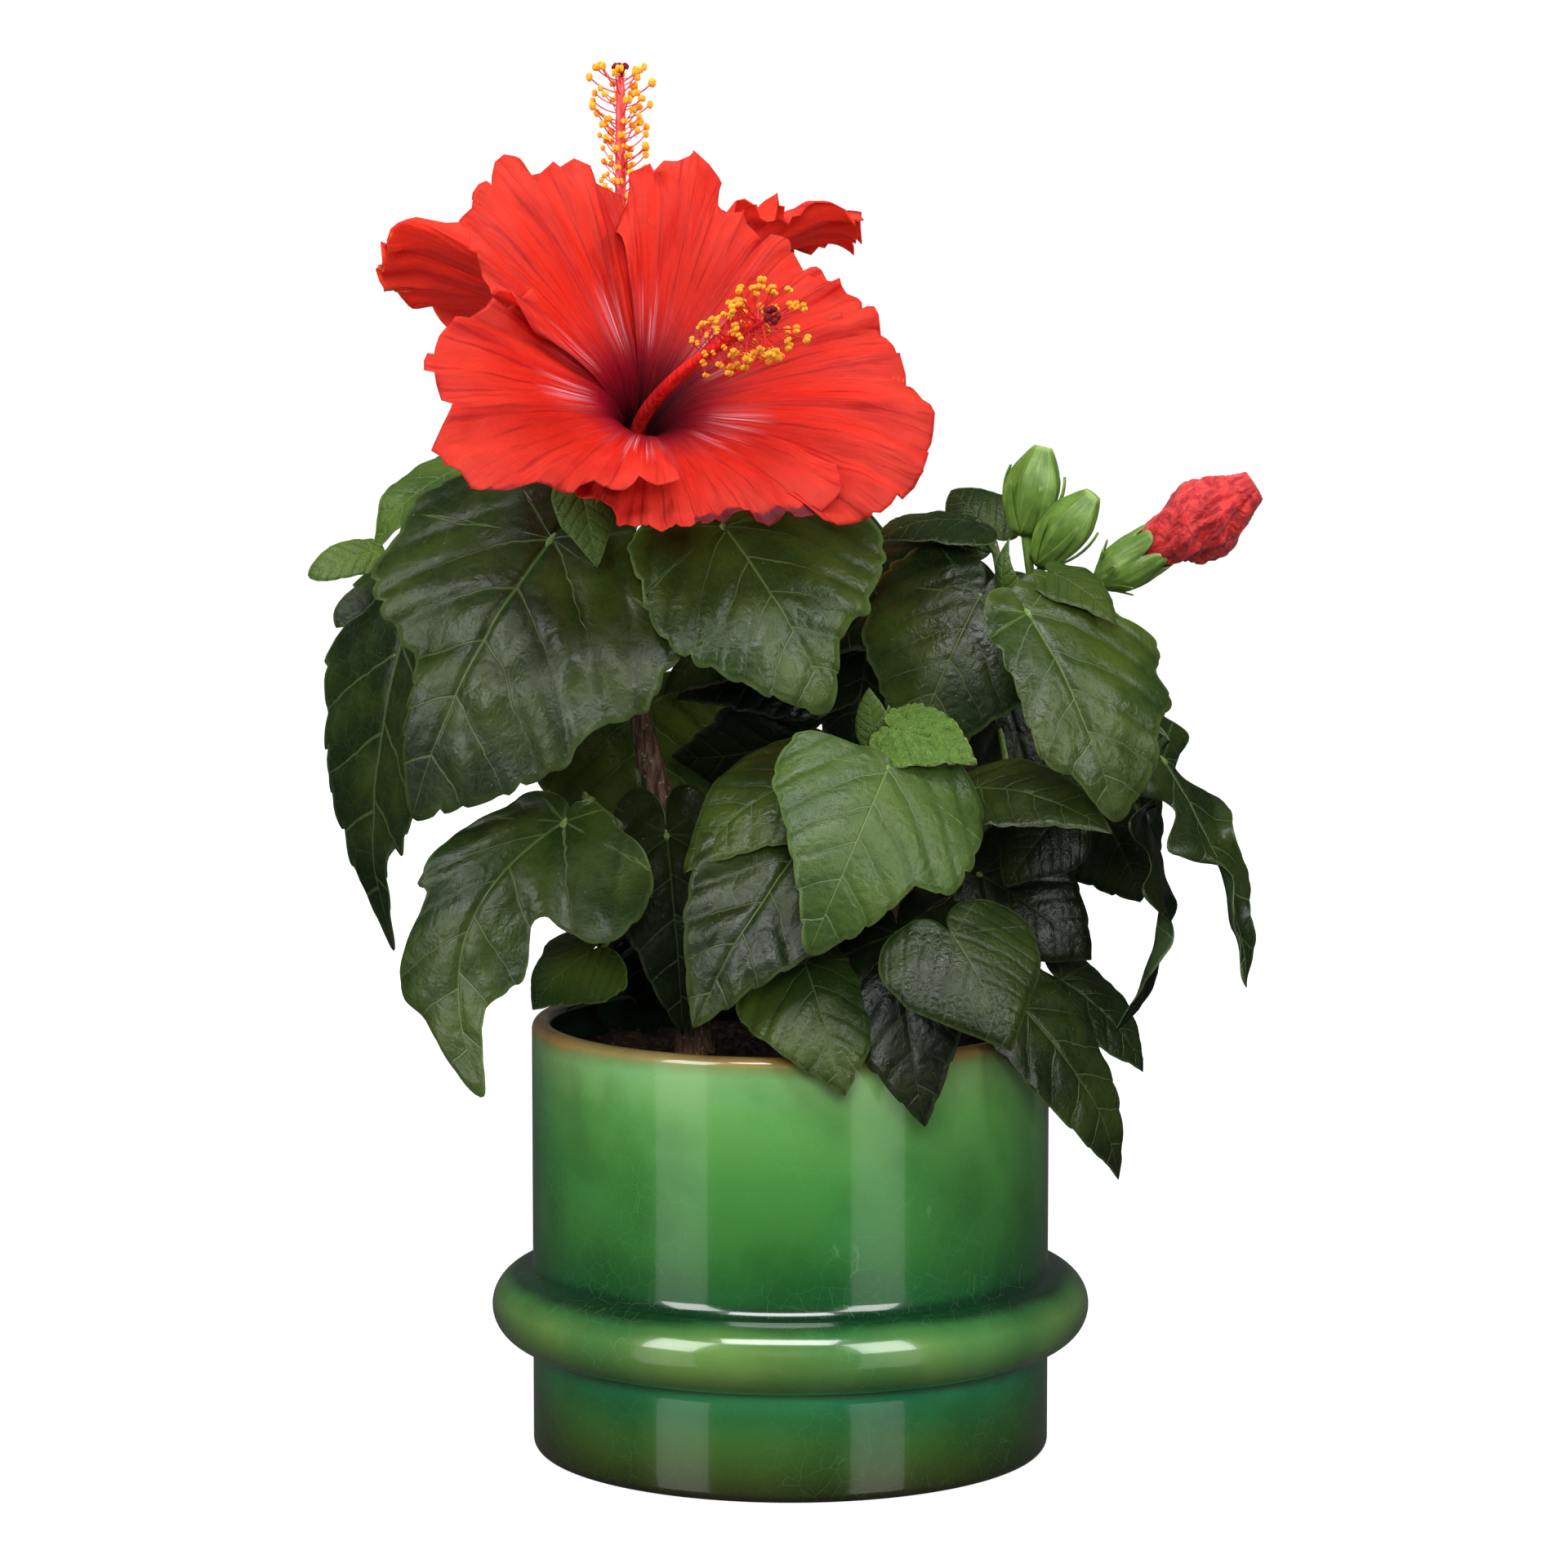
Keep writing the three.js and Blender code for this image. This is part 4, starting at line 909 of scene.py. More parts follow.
fan("foliage_back_top", sprout("stem_back", 1), [(-5, 58, 250), (-8, 62, 258)], 172, 190, 4, 72, 22)
fan("foliage_back_low", sprout("stem_back", 0.4, 180), [(6, 58, 168), (6, 64, 178)], 180, 200, 3, 64, 20)
fan("foliage_back_left", sprout("stem_left", 0.8, 195), [(-58, 30, 238), (-62, 36, 242)], 232, 110, 3, 64, 18)
fan("foliage_back_right", sprout("stem_right", 0.6, 150), [(52, 22, 214), (56, 30, 222)], 130, 130, 3, 66, 18)


def grow_leaves(name, masses):
    """The leaves of some masses as one piece, dealt their tints leaf by leaf."""
    parts, which = [], []
    for mass in masses:
        for k, shape in enumerate(SPRAYS[mass][1]):
            points, faces, spots, sides = blade(shape, seed_of(mass) % 97 + 13 * k)
            parts.append((points, faces, spots))
            tint = TINTS.index(shape["tint"])
            under = len(TINTS) + (1 if shape["tint"] in ("fresh", "young") else 0)
            which += [under if side else tint for side in sides]
    points, faces, spots = joined(parts)
    piece = made(name, (points, faces, spots[:, :2]), LEAF_FINISHES, which,
                 {"margin": spots[:, 2], "own": spots[:, 3]})
    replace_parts(piece, *masses)


grow_leaves("leaves_left", ["foliage_upper_left", "foliage_upper_middle", "foliage_low_left",
                            "foliage_low_back_left"])
grow_leaves("leaves_middle", ["foliage_middle", "foliage_centre", "foliage_low_front",
                              "foliage_middle_right"])
grow_leaves("leaves_right", ["foliage_upper_right", "foliage_right", "foliage_low_right"])
grow_leaves("leaves_back", ["foliage_back_top", "foliage_back_low", "foliage_back_left",
                            "foliage_back_right"])

shoots, stalks = [], []
for name, (line, leaves) in SPRAYS.items():
    start = rooted(line)
    length = length_of(start)
    shoots.append(tube(start, bark_radius((1.9, 1.1), 0.4, seed_of(name), length), 14,
                       max(12, int(length / 1.5))))
    stalks += [stalk(shape, line) for shape in leaves]
made("green_shoots", joined(shoots), [SHOOT_GREEN])
made("leaf_stalks", joined(stalks), [STALK_GREEN])


# ------------------------------------------------------------------ calyces and bloom stalks
# Each bloom stands in a green five-toothed cup with a ring of narrow bracts under it, on its own bough.
# Lengths along a bloom's axis are measured from its throat.
BLOOM_FOOT = -44


def bloom_frame(throat, axis, scale=1.0):
    out = unit(axis)
    right = unit(np.cross(UP, out))
    return np.array(throat, float), np.stack([right, np.cross(out, right), out]) * scale


def set_in(bloom, points):
    throat, axes = bloom
    return throat + np.asarray(points, float) @ axes


def shell(grid, thick, wrap=False, up=None):
    """A closed thin shell: a grid of points, a copy one thickness behind, and the edges between.
    up is the side that the grid's own face looks to."""
    rows, cols = grid.shape[:2]
    across = cols if wrap else cols - 1
    number = lambda i, j: i * cols + j % cols
    faces = [(number(i, j), number(i, j + 1), number(i + 1, j + 1), number(i + 1, j))
             for i in range(rows - 1) for j in range(across)]
    flat = grid.reshape(-1, 3)
    normal = np.zeros_like(flat)
    quads = np.array(faces)
    n = np.cross(flat[quads[:, 2]] - flat[quads[:, 0]], flat[quads[:, 3]] - flat[quads[:, 1]])
    for k in range(4):
        np.add.at(normal, quads[:, k], n)
    if up is not None and np.sum(normal * up) < 0:
        faces, normal = [tuple(reversed(f)) for f in faces], -normal
    under = flat - unit(normal + 1e-12) * np.reshape(thick, (-1, 1))
    size = len(flat)
    back = [tuple(i + size for i in reversed(f)) for f in faces]
    # Every edge that only one face has is on the border, and gets a face of its own.
    seen = {}
    for f in faces:
        for a, b in zip(f, f[1:] + f[:1]):
            if (b, a) in seen:
                del seen[(b, a)]
            else:
                seen[(a, b)] = True
    border = [(b, a, a + size, b + size) for a, b in seen]
    return np.vstack([flat, under]), faces + back + border


def soft_green(name, pale, deep, edge):
    """Sepal and bud skin: matte green, finely ribbed lengthwise, and pale along its edges."""
    finish, where = new_finish(name, Specular_IOR_Level=0.4, Roughness=0.5, Coat_Weight=0.1)
    tree = finish.node_tree
    spots = spots_on(tree)
    ribs = grain(drawn_out(spots, 3, 60, 1), 1, 3)
    colour = blended(eased(grain(where, 160, 3), 0.35, 0.7), deep, pale)
    colour = blended(eased(ribs, 0.5, 0.7, 0, 0.35), colour, edge)
    lengthwise = add(tree, "ShaderNodeSeparateXYZ", {0: spots}).outputs["X"]
    colour = blended(eased(lengthwise, 0.93, 1.0, 0, 0.7), colour, edge)
    return finished(finish, colour, (0.5, 0.0003, ribs))


SEPAL = soft_green("sepal green", (0.130, 0.235, 0.034), (0.070, 0.145, 0.018), (0.30, 0.40, 0.12))
BRACT_LONG, BRACT_ACROSS = np.meshgrid(np.linspace(0, 1, 9), np.linspace(-1, 1, 5), indexing="ij")


def bract(bloom, turn, out, up, half_wide, thick, ripe=1.0):
    """A narrow leaf beside a bloom: how far out and up its points lie, and half its width."""
    x, y = math.cos(turn), math.sin(turn)
    outward, side = np.array([x, y, 0]), np.array([-y, x, 0])
    grid = outward * out[..., None] + UP * up[..., None] + side * (BRACT_ACROSS * half_wide)[..., None]
    points, faces = shell(grid, thick, up=outward)
    spots = np.column_stack([BRACT_LONG.ravel() * ripe, BRACT_ACROSS.ravel() * 0.2])
    return set_in(bloom, points), faces, np.tile(spots, (2, 1))


CUP = dict(sides=80, rows=18, teeth_from=-20, teeth_high=33, throat=8.7, mouth=11.5, thick=0.55, bracts=7)
CUP_WIDENS = [(-43.7, 2.0), (-42.5, 4.0), (-40, 5.6), (-36, 7.1), (-32, 7.9), (-24, 8.5), (-20, 8.75)]


def cup(bloom, broad=1.0, open_by=0.30, fat=0.0):
    """A calyx: a five-toothed cup, and bracts round its foot."""
    sides, steps = CUP["sides"], np.linspace(0, 1, CUP["rows"])
    turns = np.arange(sides) * 2 * np.pi / sides
    tooth = 1 - np.abs(((turns * 5 / (2 * np.pi)) % 1) - 0.5) * 2
    tooth = 1 - tooth ** (1.6 * broad)
    top_z = CUP["teeth_from"] + (BLOOM_FOOT + CUP["teeth_high"] - CUP["teeth_from"]) * tooth
    top_r = CUP["throat"] + (CUP["mouth"] - CUP["throat"]) * tooth
    rows = []
    for u in steps:
        z = BLOOM_FOOT + 0.3 + (top_z - BLOOM_FOOT - 0.3) * u
        r = np.interp(z, *zip(*CUP_WIDENS))
        up = z - CUP["teeth_from"]
        r = np.where(up > 0, np.minimum(r + up * open_by, top_r + 0.2), r)
        r = r * (1 + 0.035 * np.cos(5 * turns) ** 8 + fat * math.sin(math.pi * u))
        r = r + 0.25 * np.sin(turns * 15) * u
        rows.append(np.stack([r * np.cos(turns), r * np.sin(turns), z], -1))
    grid = np.array(rows)
    points, faces = shell(grid, CUP["thick"], wrap=True, up=grid.reshape(-1, 3) * (1, 1, 0))
    spots = np.column_stack([np.repeat(steps, sides), np.tile(turns / 6.283, len(steps))])
    spots = np.tile(spots, (2, 1))
    # The foot is closed: both rings at the bottom get a middle.
    size = len(points) // 2
    points = np.vstack([points, [(0, 0, BLOOM_FOOT + 0.2)], [(0, 0, BLOOM_FOOT + 1.2)]])
    spots = np.vstack([spots, [(0, 0)], [(0, 0)]])
    faces = [f for f in faces if not (len({i % size for i in f}) == 2 and all(i % size < sides for i in f))]
    out, inner = len(points) - 2, len(points) - 1
    for i in range(sides):
        j = (i + 1) % sides
        faces += [(out, j, i), (inner, size + i, size + j)]
    parts = [(set_in(bloom, points), faces, spots)]
    u, w = BRACT_LONG, BRACT_ACROSS
    for k in range(CUP["bracts"]):
        length = 13 + 2 * math.sin(k * 2.1)
        parts.append(bract(bloom, 2 * math.pi * (k + 0.3) / CUP["bracts"],
                           5.2 + length * 0.55 * u + 1.5 * u ** 2,
                           BLOOM_FOOT + 3.2 + length * 0.72 * u - 0.5 * w ** 2,
                           1.25 * (np.sin(np.pi * np.clip(u, 0.03, 0.97)) ** 0.6 + 0.15), 0.4))
    return parts


FRONT_BLOOM = bloom_frame((-40, -45, 311), (0.22, -0.72, 0.66))
BACK_BLOOM = bloom_frame((-50, 70, 328), (-0.12, 0.3, 0.945))
FURLED_BLOOM = bloom_frame((112, -28, 273), (0.84, -0.11, 0.53), 0.66)
for name, bloom in (("calyx_front", FRONT_BLOOM), ("calyx_back", BACK_BLOOM)):
    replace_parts(made(name + "_sepals", joined(cup(bloom)), [SEPAL]), name)


def on_axis(bloom, *lengths):
    return [tuple(set_in(bloom, (0, 0, length))) for length in lengths]


STALK_END = (BLOOM_FOOT - 4, BLOOM_FOOT + 0.6)
bark_limb("bough_front_bloom", [*sprout("stem_left", 0.95, 0), *on_axis(FRONT_BLOOM, *STALK_END)], (2, 1.7))
bark_limb("bough_back_bloom",
          [*sprout("stem_left", 0.88, 180), (-49, 36, 262), *on_axis(BACK_BLOOM, *STALK_END)], (2.1, 1.7))


# ------------------------------------------------------------------ petals of the open blooms
# Five broad petals, joined low in the tube, each lying over the next. They are thin and silky, pleated along
# their veins and ruffled at the rim: bright red, maroon in the throat with pale streaks outside it.
FACE = [(2.2, -25.2), (3.2, -20), (4.8, -13), (8.2, -6), (12, -1), (24, 6.2), (40, 13), (52, 16.4), (62, 18),
        (76, 17.4), (90, 15)]
PETAL_THICK, REACH_UNIT, RIM_REACH = 0.38, 80, 70
# The lengths of the waves along a petal's rim, and how high the broad ones and the frill stand.
RUFFLE = dict(broad=17, fine=9.6, beat=40, frill=5.6, high=2.3, frill_high=1.5, frill_out=0.5)


def petal_silk():
    finish, where = new_finish("petal silk", Specular_IOR_Level=0.14, Roughness=0.6, Subsurface_Weight=0.28,
                               Subsurface_Scale=0.003)
    tree = finish.node_tree
    spots = spots_on(tree)
    reach = add(tree, "ShaderNodeSeparateXYZ", {0: spots}).outputs["Y"]  # from the axis
    margin, scorch, under = (mark_on(tree, name)
                             for name in ("margin", "scorch", "under"))

    def radial(fine, slow, detail=3):
        return grain(drawn_out(spots, fine, slow, 1), 1, detail, 0.6, 0.4)

    colour = blended(eased(margin, 0.35, 1.0), (0.47, 0.011, 0.004), (0.53, 0.030, 0.018))
    colour = blended(eased(radial(4, 2.6), 0.42, 0.7, 0, 0.6), colour, (0.34, 0.004, 0.003))
    colour = blended(eased(radial(19, 1.1, 5), 0.52, 0.64, 0, 0.6), colour, (0.20, 0.002, 0.004))
    # Pale streaks between the throat and the red, in some places only.
    pale = times(eased(radial(19, 1.3, 4), 0.46, 0.66), eased(reach, 0.17, 0.25))
    pale = times(times(pale, eased(reach, 0.25, 0.47, 1, 0)), eased(radial(2.2, 0.4, 1), 0.46, 0.66, 0.08, 1))
    colour = blended(times(pale, 0.8), colour, (0.88, 0.42, 0.50))
    throat = plus(reach, times_plus(radial(12, 1.5), 0.14, -0.07))
    colour = blended(eased(throat, 0.15, 0.36, 1, 0), colour, (0.15, 0.001, 0.008))
    # Deep in the tube it turns nearly black: painted shade.
    colour = blended(eased(throat, 0.05, 0.20, 1, 0), colour, (0.022, 0.0004, 0.002))
    # Undersides are a brighter red, partly their own paler colour and partly painted light lifting the back
    # bloom from shade.
    colour = blended(times(under, 0.6), colour, (0.95, 0.045, 0.025))
    burnt = plus(times(margin, scorch), times_plus(grain(where, 300, 3), 0.12, -0.06))
    colour = blended(eased(burnt, 0.955, 1.0), colour, (0.10, 0.012, 0.018))
    colour = blended(eased(margin, 0.985, 1.0, 0, 0.45), colour, (0.34, 0.006, 0.010))
    return finished(finish, colour, (0.8, 0.0030, radial(5, 1.1, 2)), (0.9, 0.0010, radial(14, 2.6, 4)),
                    (0.8, 0.0005, grain(where, 330, 5)))


PETAL_SILK = petal_silk()


def petal(bloom, rim, curl, seed, ruffle=1.0, roll=0.0, scorch=((0, 0.0),), tilt=0.0):
    """One petal. rim gives its reach at each angle in degrees and scorch how burnt its edge is there; tilt
    lifts its far edge."""
    rows, cols = 54, 56
    v = np.linspace(-1, 1, cols)
    start, end = rim[0][0], rim[-1][0]
    turn = start + (end - start) * (v + 1) / 2
    reach = smooth_through(turn, rim)
    arc = np.radians(turn) * RIM_REACH
    reach = reach + 1.5 * waver(arc * 0.16, seed, 0) + 0.8 * waver(arc * 0.42, seed, 4)
    r_dense = np.linspace(2.2, 95, 500)
    h_dense = smooth_through(r_dense, FACE)
    path = np.concatenate([[0], np.cumsum(np.hypot(np.diff(r_dense), np.diff(h_dense)))])
    u = np.linspace(0, 1, rows) ** 0.85
    full = np.interp(reach, r_dense, path)
    r = np.interp(np.outer(u, full), path, r_dense)
    h = np.interp(r, r_dense, h_dense)
    q = np.clip((r - 12) / (reach - 12), 0, 1)
    angle = np.radians(np.tile(turn, (rows, 1)))
    over_next = v * (0.35 + 2.6 * np.minimum(1, 1.6 * q)) + 1.6 * np.maximum(0, v) ** 6 * np.minimum(1, 2 * q)
    h = h + (curl + tilt * v) * q ** 2 + over_next
    # Ruffles grow towards the rim; pleats run along the veins; the rim is crumpled finely.
    p1, p2, p3 = (random.Random(seed * 7 + k).uniform(0, 6.28) for k in range(3))
    broad, fine, beat, frilled = (arc / RUFFLE[wave] * 6.283 for wave in ("broad", "fine", "beat", "frill"))
    wave = np.sin(broad + p1) + 0.75 * np.sin(fine + p2) * np.sin(beat + p3)
    h = h + ruffle * RUFFLE["high"] * wave * q ** 4
    angle = angle + ruffle * 0.020 * np.cos(fine + p2) * q ** 4
    frill = waver(arc * 0.10, seed, 8)
    at_rim = ruffle * (0.5 + frill) * q ** 9
    h = h + RUFFLE["frill_high"] * np.sin(frilled + 9 * frill) * at_rim
    r = r + RUFFLE["frill_out"] * np.cos(frilled + 9 * frill) * at_rim
    crumple = (waver(arc * 0.75 * 0.11, r * 0.045, seed * 1.3) * 2.2
               + waver(arc * 0.75 * 0.33, r * 0.13, seed) * 1.3)
    pleat = waver(v * 9, 0.3, seed) + 0.6 * waver(v * 21, 1.3, seed)
    h = h + crumple * 1.25 * q ** 1.3 + 0.55 * pleat * np.sin(np.pi * np.clip(q, 0, 1) ** 0.8)
    if roll:
        over = np.clip((q - 0.80) / 0.20, 0, 1) ** 2
        h, r = h - roll * over, r - abs(roll) * 0.35 * over ** 2
    grid = np.stack([r * np.cos(angle), r * np.sin(angle), h], -1)
    points, faces = shell(grid, PETAL_THICK * (1 - 0.5 * q.ravel() ** 4), up=UP)
    burnt = np.interp(turn, *zip(*scorch))
    spots = np.column_stack([np.tile(v, rows), r.ravel() / REACH_UNIT, q.ravel(), np.tile(burnt, rows)])
    spots = np.column_stack([np.tile(spots, (2, 1)), np.repeat([0, 1], len(spots))])
    return set_in(bloom, points), faces, spots


def bloom_piece(name, petals):
    points, faces, spots = joined(petals)
    piece = made(name + "_petals", (points, faces, spots[:, :2]), [PETAL_SILK],
                 marks={"margin": spots[:, 2], "scorch": spots[:, 3], "under": spots[:, 4]})
    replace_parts(piece, name)


# The front bloom's petals, each with its own rim; the lower ones are scorched along their edges.
bloom_piece("corolla_front", [
    petal(FRONT_BLOOM, [(-58, 67), (-46, 74), (-39, 77), (-34, 79), (-26, 79), (-12, 77), (-8, 73), (6, 68),
                        (14, 66), (23, 63), (29, 55)], 0, 1, 0.9),
    petal(FRONT_BLOOM, [(13, 58), (20, 63), (31, 64), (42, 63), (54, 62), (62, 67), (69, 79), (76, 78),
                        (84, 71), (89, 63), (94, 50)], 2, 2, 1.2, roll=3),
    petal(FRONT_BLOOM, [(80, 48), (86, 52), (91, 60), (95, 68), (100, 73), (106, 75), (112, 77), (115, 81),
                        (119, 76), (127, 74), (136, 69), (143, 60), (150, 51), (156, 43), (160, 34)], 2, 3,
          1.1),
    petal(FRONT_BLOOM, [(142, 42), (152, 48), (162, 55), (172, 63), (179, 67), (184, 70), (190, 66.5),
                        (197, 67), (201, 75), (209, 79), (216, 78), (220, 75), (227, 64), (235, 56),
                        (247, 50), (258, 48), (264, 44)], 4, 4, 0.8,
          scorch=[(205, 0.0), (218, 0.995), (250, 0.985), (258, 0.0)]),
    petal(FRONT_BLOOM, [(232, 50), (240, 53), (250, 56), (265, 56), (282, 55), (293, 60), (302, 64),
                        (312, 64), (318, 58)], -4, 15, 0.8, roll=-2,
          scorch=[(262, 0.3), (270, 1.10), (304, 1.09), (312, 0.3)]),
])
# The back bloom's: from its left side, round by the front and the right.
bloom_piece("corolla_back", [
    petal(BACK_BLOOM, [(-66, 52), (-58, 64), (-50, 67), (-36, 70), (-22, 72), (-10, 71), (-2, 71), (4, 70),
                       (7, 60), (9, 42)], 6, 20, 1.2, tilt=3),
    petal(BACK_BLOOM, [(0, 32), (20, 42), (32, 48), (45, 54), (60, 60), (75, 63), (90, 60), (99, 56),
                       (108, 48)], 0, 21, 1.1),
    petal(BACK_BLOOM, [(95, 48), (99, 55), (112, 59), (123, 62), (132, 60), (139, 64), (144, 73), (150, 76),
                       (162, 75), (174, 76), (181, 77), (188, 68)], 6, 22, 1.2, roll=3),
    petal(BACK_BLOOM, [(176, 52), (188, 62), (200, 68), (214, 74), (230, 75), (244, 70), (252, 60)], 10, 23,
          1.2),
    petal(BACK_BLOOM, [(240, 58), (250, 70), (262, 75), (276, 76), (290, 72), (304, 58)], 9, 24, 1.2),
])


# ------------------------------------------------------------------ columns
# The fused stamen tube of each bloom: a slender red column whose outer half bristles with fine stamens, each
# with a two-lobed anther of orange pollen, and ends in five stigmas with velvet heads.
def column_skin(name, pale, deep):
    finish, where = new_finish(name, Specular_IOR_Level=0.45, Roughness=0.4, Coat_Weight=0.15)
    streak = grain(drawn_out(where, 700, 700, 90), 1, 4)
    return finished(finish, blended(eased(streak, 0.38, 0.66), deep, pale), (0.4, 0.0003, streak))


def speckled(name, pale, deep, scale, roughness):
    finish, where = new_finish(name, Specular_IOR_Level=0.25, Roughness=roughness)
    dust = grain(where, scale, 5, 0.7)
    return finished(finish, blended(eased(dust, 0.38, 0.62), deep, pale), (0.8, 0.0002, dust))


COLUMN_RED = column_skin("column red", (0.72, 0.024, 0.018), (0.46, 0.006, 0.008))
COLUMN_PINK = column_skin("column pink", (0.80, 0.12, 0.11), (0.52, 0.014, 0.022))
POLLEN = speckled("pollen", (0.90, 0.46, 0.035), (0.70, 0.20, 0.012), 1500, 0.75)
VELVET = speckled("stigma velvet", (0.26, 0.010, 0.014), (0.07, 0.003, 0.006), 2500, 0.85)


def stamens(part):
    """A tree that sets stamens round a line by the golden angle: their filaments, or their anthers."""
    tree, given = new_grower("stamens " + part, "Column line", {
        "Number": 60, "Reach": 0.0095, "Forward": 0.005, "Thickness": 0.0002, "Anther": 0.0010, "Seed": 1})

    def node(kind, inputs=None, out=0, **settings):
        return add(tree, kind, inputs, **settings).outputs[out]

    line = node("GeometryNodeMeshToCurve", {0: given["Column line"]})
    spaced = node("GeometryNodeResampleCurve", {"Curve": line, "Count": given["Number"]})
    tip = node("ShaderNodeCombineXYZ", {"X": given["Reach"], "Z": given["Forward"]})
    if part == "filaments":
        hair = node("GeometryNodeCurveQuadraticBezier", {
            "Resolution": 4, "Start": (0, 0, 0), "Middle": stretched(tip, (0.55, 1, 0.12)), "End": tip})
        ring = node("GeometryNodeCurvePrimitiveCircle", {"Resolution": 5, "Radius": given["Thickness"]})
        shape = node("GeometryNodeCurveToMesh", {"Curve": hair, "Profile Curve": ring, "Fill Caps": True})
    else:
        both = tree.nodes.new("GeometryNodeJoinGeometry")
        for side in (-0.55, 0.55):
            lobe = node("GeometryNodeMeshUVSphere", {"Segments": 8, "Rings": 5, "Radius": given["Anther"]},
                        "Mesh")
            at = shifted(tip, node("ShaderNodeCombineXYZ", {"Y": times(given["Anther"], side)}))
            lobe = node("GeometryNodeTransform",
                        {"Geometry": lobe, "Translation": at, "Scale": (0.85, 0.72, 1.15)})
            tree.links.new(lobe, both.inputs[0])
        shape = both.outputs[0]
    ahead = node("FunctionNodeAlignRotationToVector", {"Vector": node("GeometryNodeInputTangent")}, axis="Z")
    index = node("GeometryNodeInputIndex")
    spin = node("ShaderNodeCombineXYZ", {"Z": times(index, math.radians(137.5))})
    lean = node("FunctionNodeRandomValue",
                {0: (-0.14, -0.30, -0.3), 1: (0.14, 0.26, 0.3), "Seed": given["Seed"]},
                data_type="FLOAT_VECTOR")
    turned_by = node("FunctionNodeEulerToRotation", {0: shifted(spin, lean)})
    way = node("FunctionNodeRotateRotation", {0: ahead, 1: turned_by}, rotation_space="LOCAL")
    size = node("FunctionNodeRandomValue", {2: 0.74, 3: 1.12, "Seed": given["Seed"]}, 1, data_type="FLOAT")
    size = times(size, times_plus(over(index, given["Number"]), 0.40, 0.76))
    instances = node("GeometryNodeInstanceOnPoints", {
        "Points": spaced, "Instance": shape, "Rotation": way, "Scale": size})
    return grower_done(tree, instances, given["Finish"])


FILAMENTS, ANTHERS = stamens("filaments"), stamens("anthers")


def club(share, turn):
    return 0.45 + 0.75 * np.sqrt(np.clip(1 - ((share - 0.88) / 0.13) ** 2, 0, 1))


def column(name, line, skin, first_stamen, number, stamen_reach, spread_stigmas):
    centre, way = along(line, [0, 0.999])

    def radius_at(share, turn):
        return (2.3 - 1.0 * share) * (1 + 0.05 * np.cos(5 * turn)) * np.where(share > 0.97, 0.8, 1)

    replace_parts(made(name + "_tube", tube(line, radius_at, 14, 60), [skin]), name)
    outer, _ = along(line, np.linspace(first_stamen, 0.995, 40) ** 0.9)
    edges = [(i, i + 1) for i in range(39)]
    for part, tree, finish in (("filaments", FILAMENTS, skin), ("anthers", ANTHERS, POLLEN)):
        given = {"Number": number, "Reach": stamen_reach, "Seed": 3, "Finish": finish}
        grown(f"{name}_{part}", outer, edges, [], tree, given, finish)
    heads = []
    tip, ahead = centre[1], way[1]
    side = unit(np.cross(ahead, UP if abs(ahead[2]) < 0.9 else np.array([1.0, 0, 0])))
    other = np.cross(ahead, side)
    for k in range(5):
        a = 2 * math.pi * k / 5 + 0.4
        out = side * math.cos(a) + other * math.sin(a)
        branch = [tuple(tip + ahead * on + out * off) for on, off in (
            (-1.0, 0), (1.8, 0.8), (3.2, spread_stigmas * 0.65), (3.8, spread_stigmas))]
        heads.append(tube(branch, club, 9, 18))
    made(name + "_stigmas", joined(heads), [VELVET])


IN_THROAT = (-24.8, -6)
column("column_front", [*on_axis(FRONT_BLOOM, *IN_THROAT), (-28, -64, 322), (-7, -92, 336)],
       COLUMN_RED, 0.62, 92, 0.0100, 2.6)
column("column_back", [*on_axis(BACK_BLOOM, *IN_THROAT), (-51, 71, 360), (-51, 71, 402)],
       COLUMN_PINK, 0.42, 116, 0.0076, 2.4)


# ------------------------------------------------------------------ furled bloom and buds
# A spent bloom, its petals wound round each other and crumpled, held by its green cup, and two ribbed buds,
# still closed. They stand on thin green stalks from the top of the right stem.
def pod(foot, tip, radius_at, sides, steps):
    middle = tuple((np.array(foot) + tip) / 2)
    return tube([tuple(foot), middle, tuple(tip)], radius_at, sides, steps)


def crumpled_red():
    finish, where = new_finish("crumpled petal", Specular_IOR_Level=0.35, Roughness=0.5, Sheen_Weight=0.15)
    soft = grain(where, 190, 5, 0.6, 1.6)
    colour = blended(eased(soft, 0.38, 0.62), (0.30, 0.003, 0.006), (0.66, 0.024, 0.022))
    return finished(finish, colour, (0.9, 0.0012, soft))


def wound(share, turn):
    """The furled petals: a swelling pod with a spiral edge, pleats, and a crumpled open end."""
    spiral = (turn * 3 / (2 * np.pi) + share * 1.1) % 1
    fold = 0.20 * (1 - spiral) ** 2 - 0.07
    swell = np.sin(np.pi * (0.04 + 0.84 * share)) * (1 + 0.10 * share)
    x, y = np.cos(turn + share), np.sin(turn + share)
    crush = (waver(x * 2.2, y * 2.2, share * 4) * 0.20
             - np.abs(waver(x * 4.5, y * 4.5, share * 5)) * 0.24 * (0.4 + share)
             + waver(np.cos(turn) * 11, np.sin(turn) * 11, share * 17) * 0.06)
    body = swell * (1 + fold + crush + 0.03 * np.cos(9 * turn + 3 * share))
    return 15 * (body + 0.10 * np.maximum(0, share - 0.85))


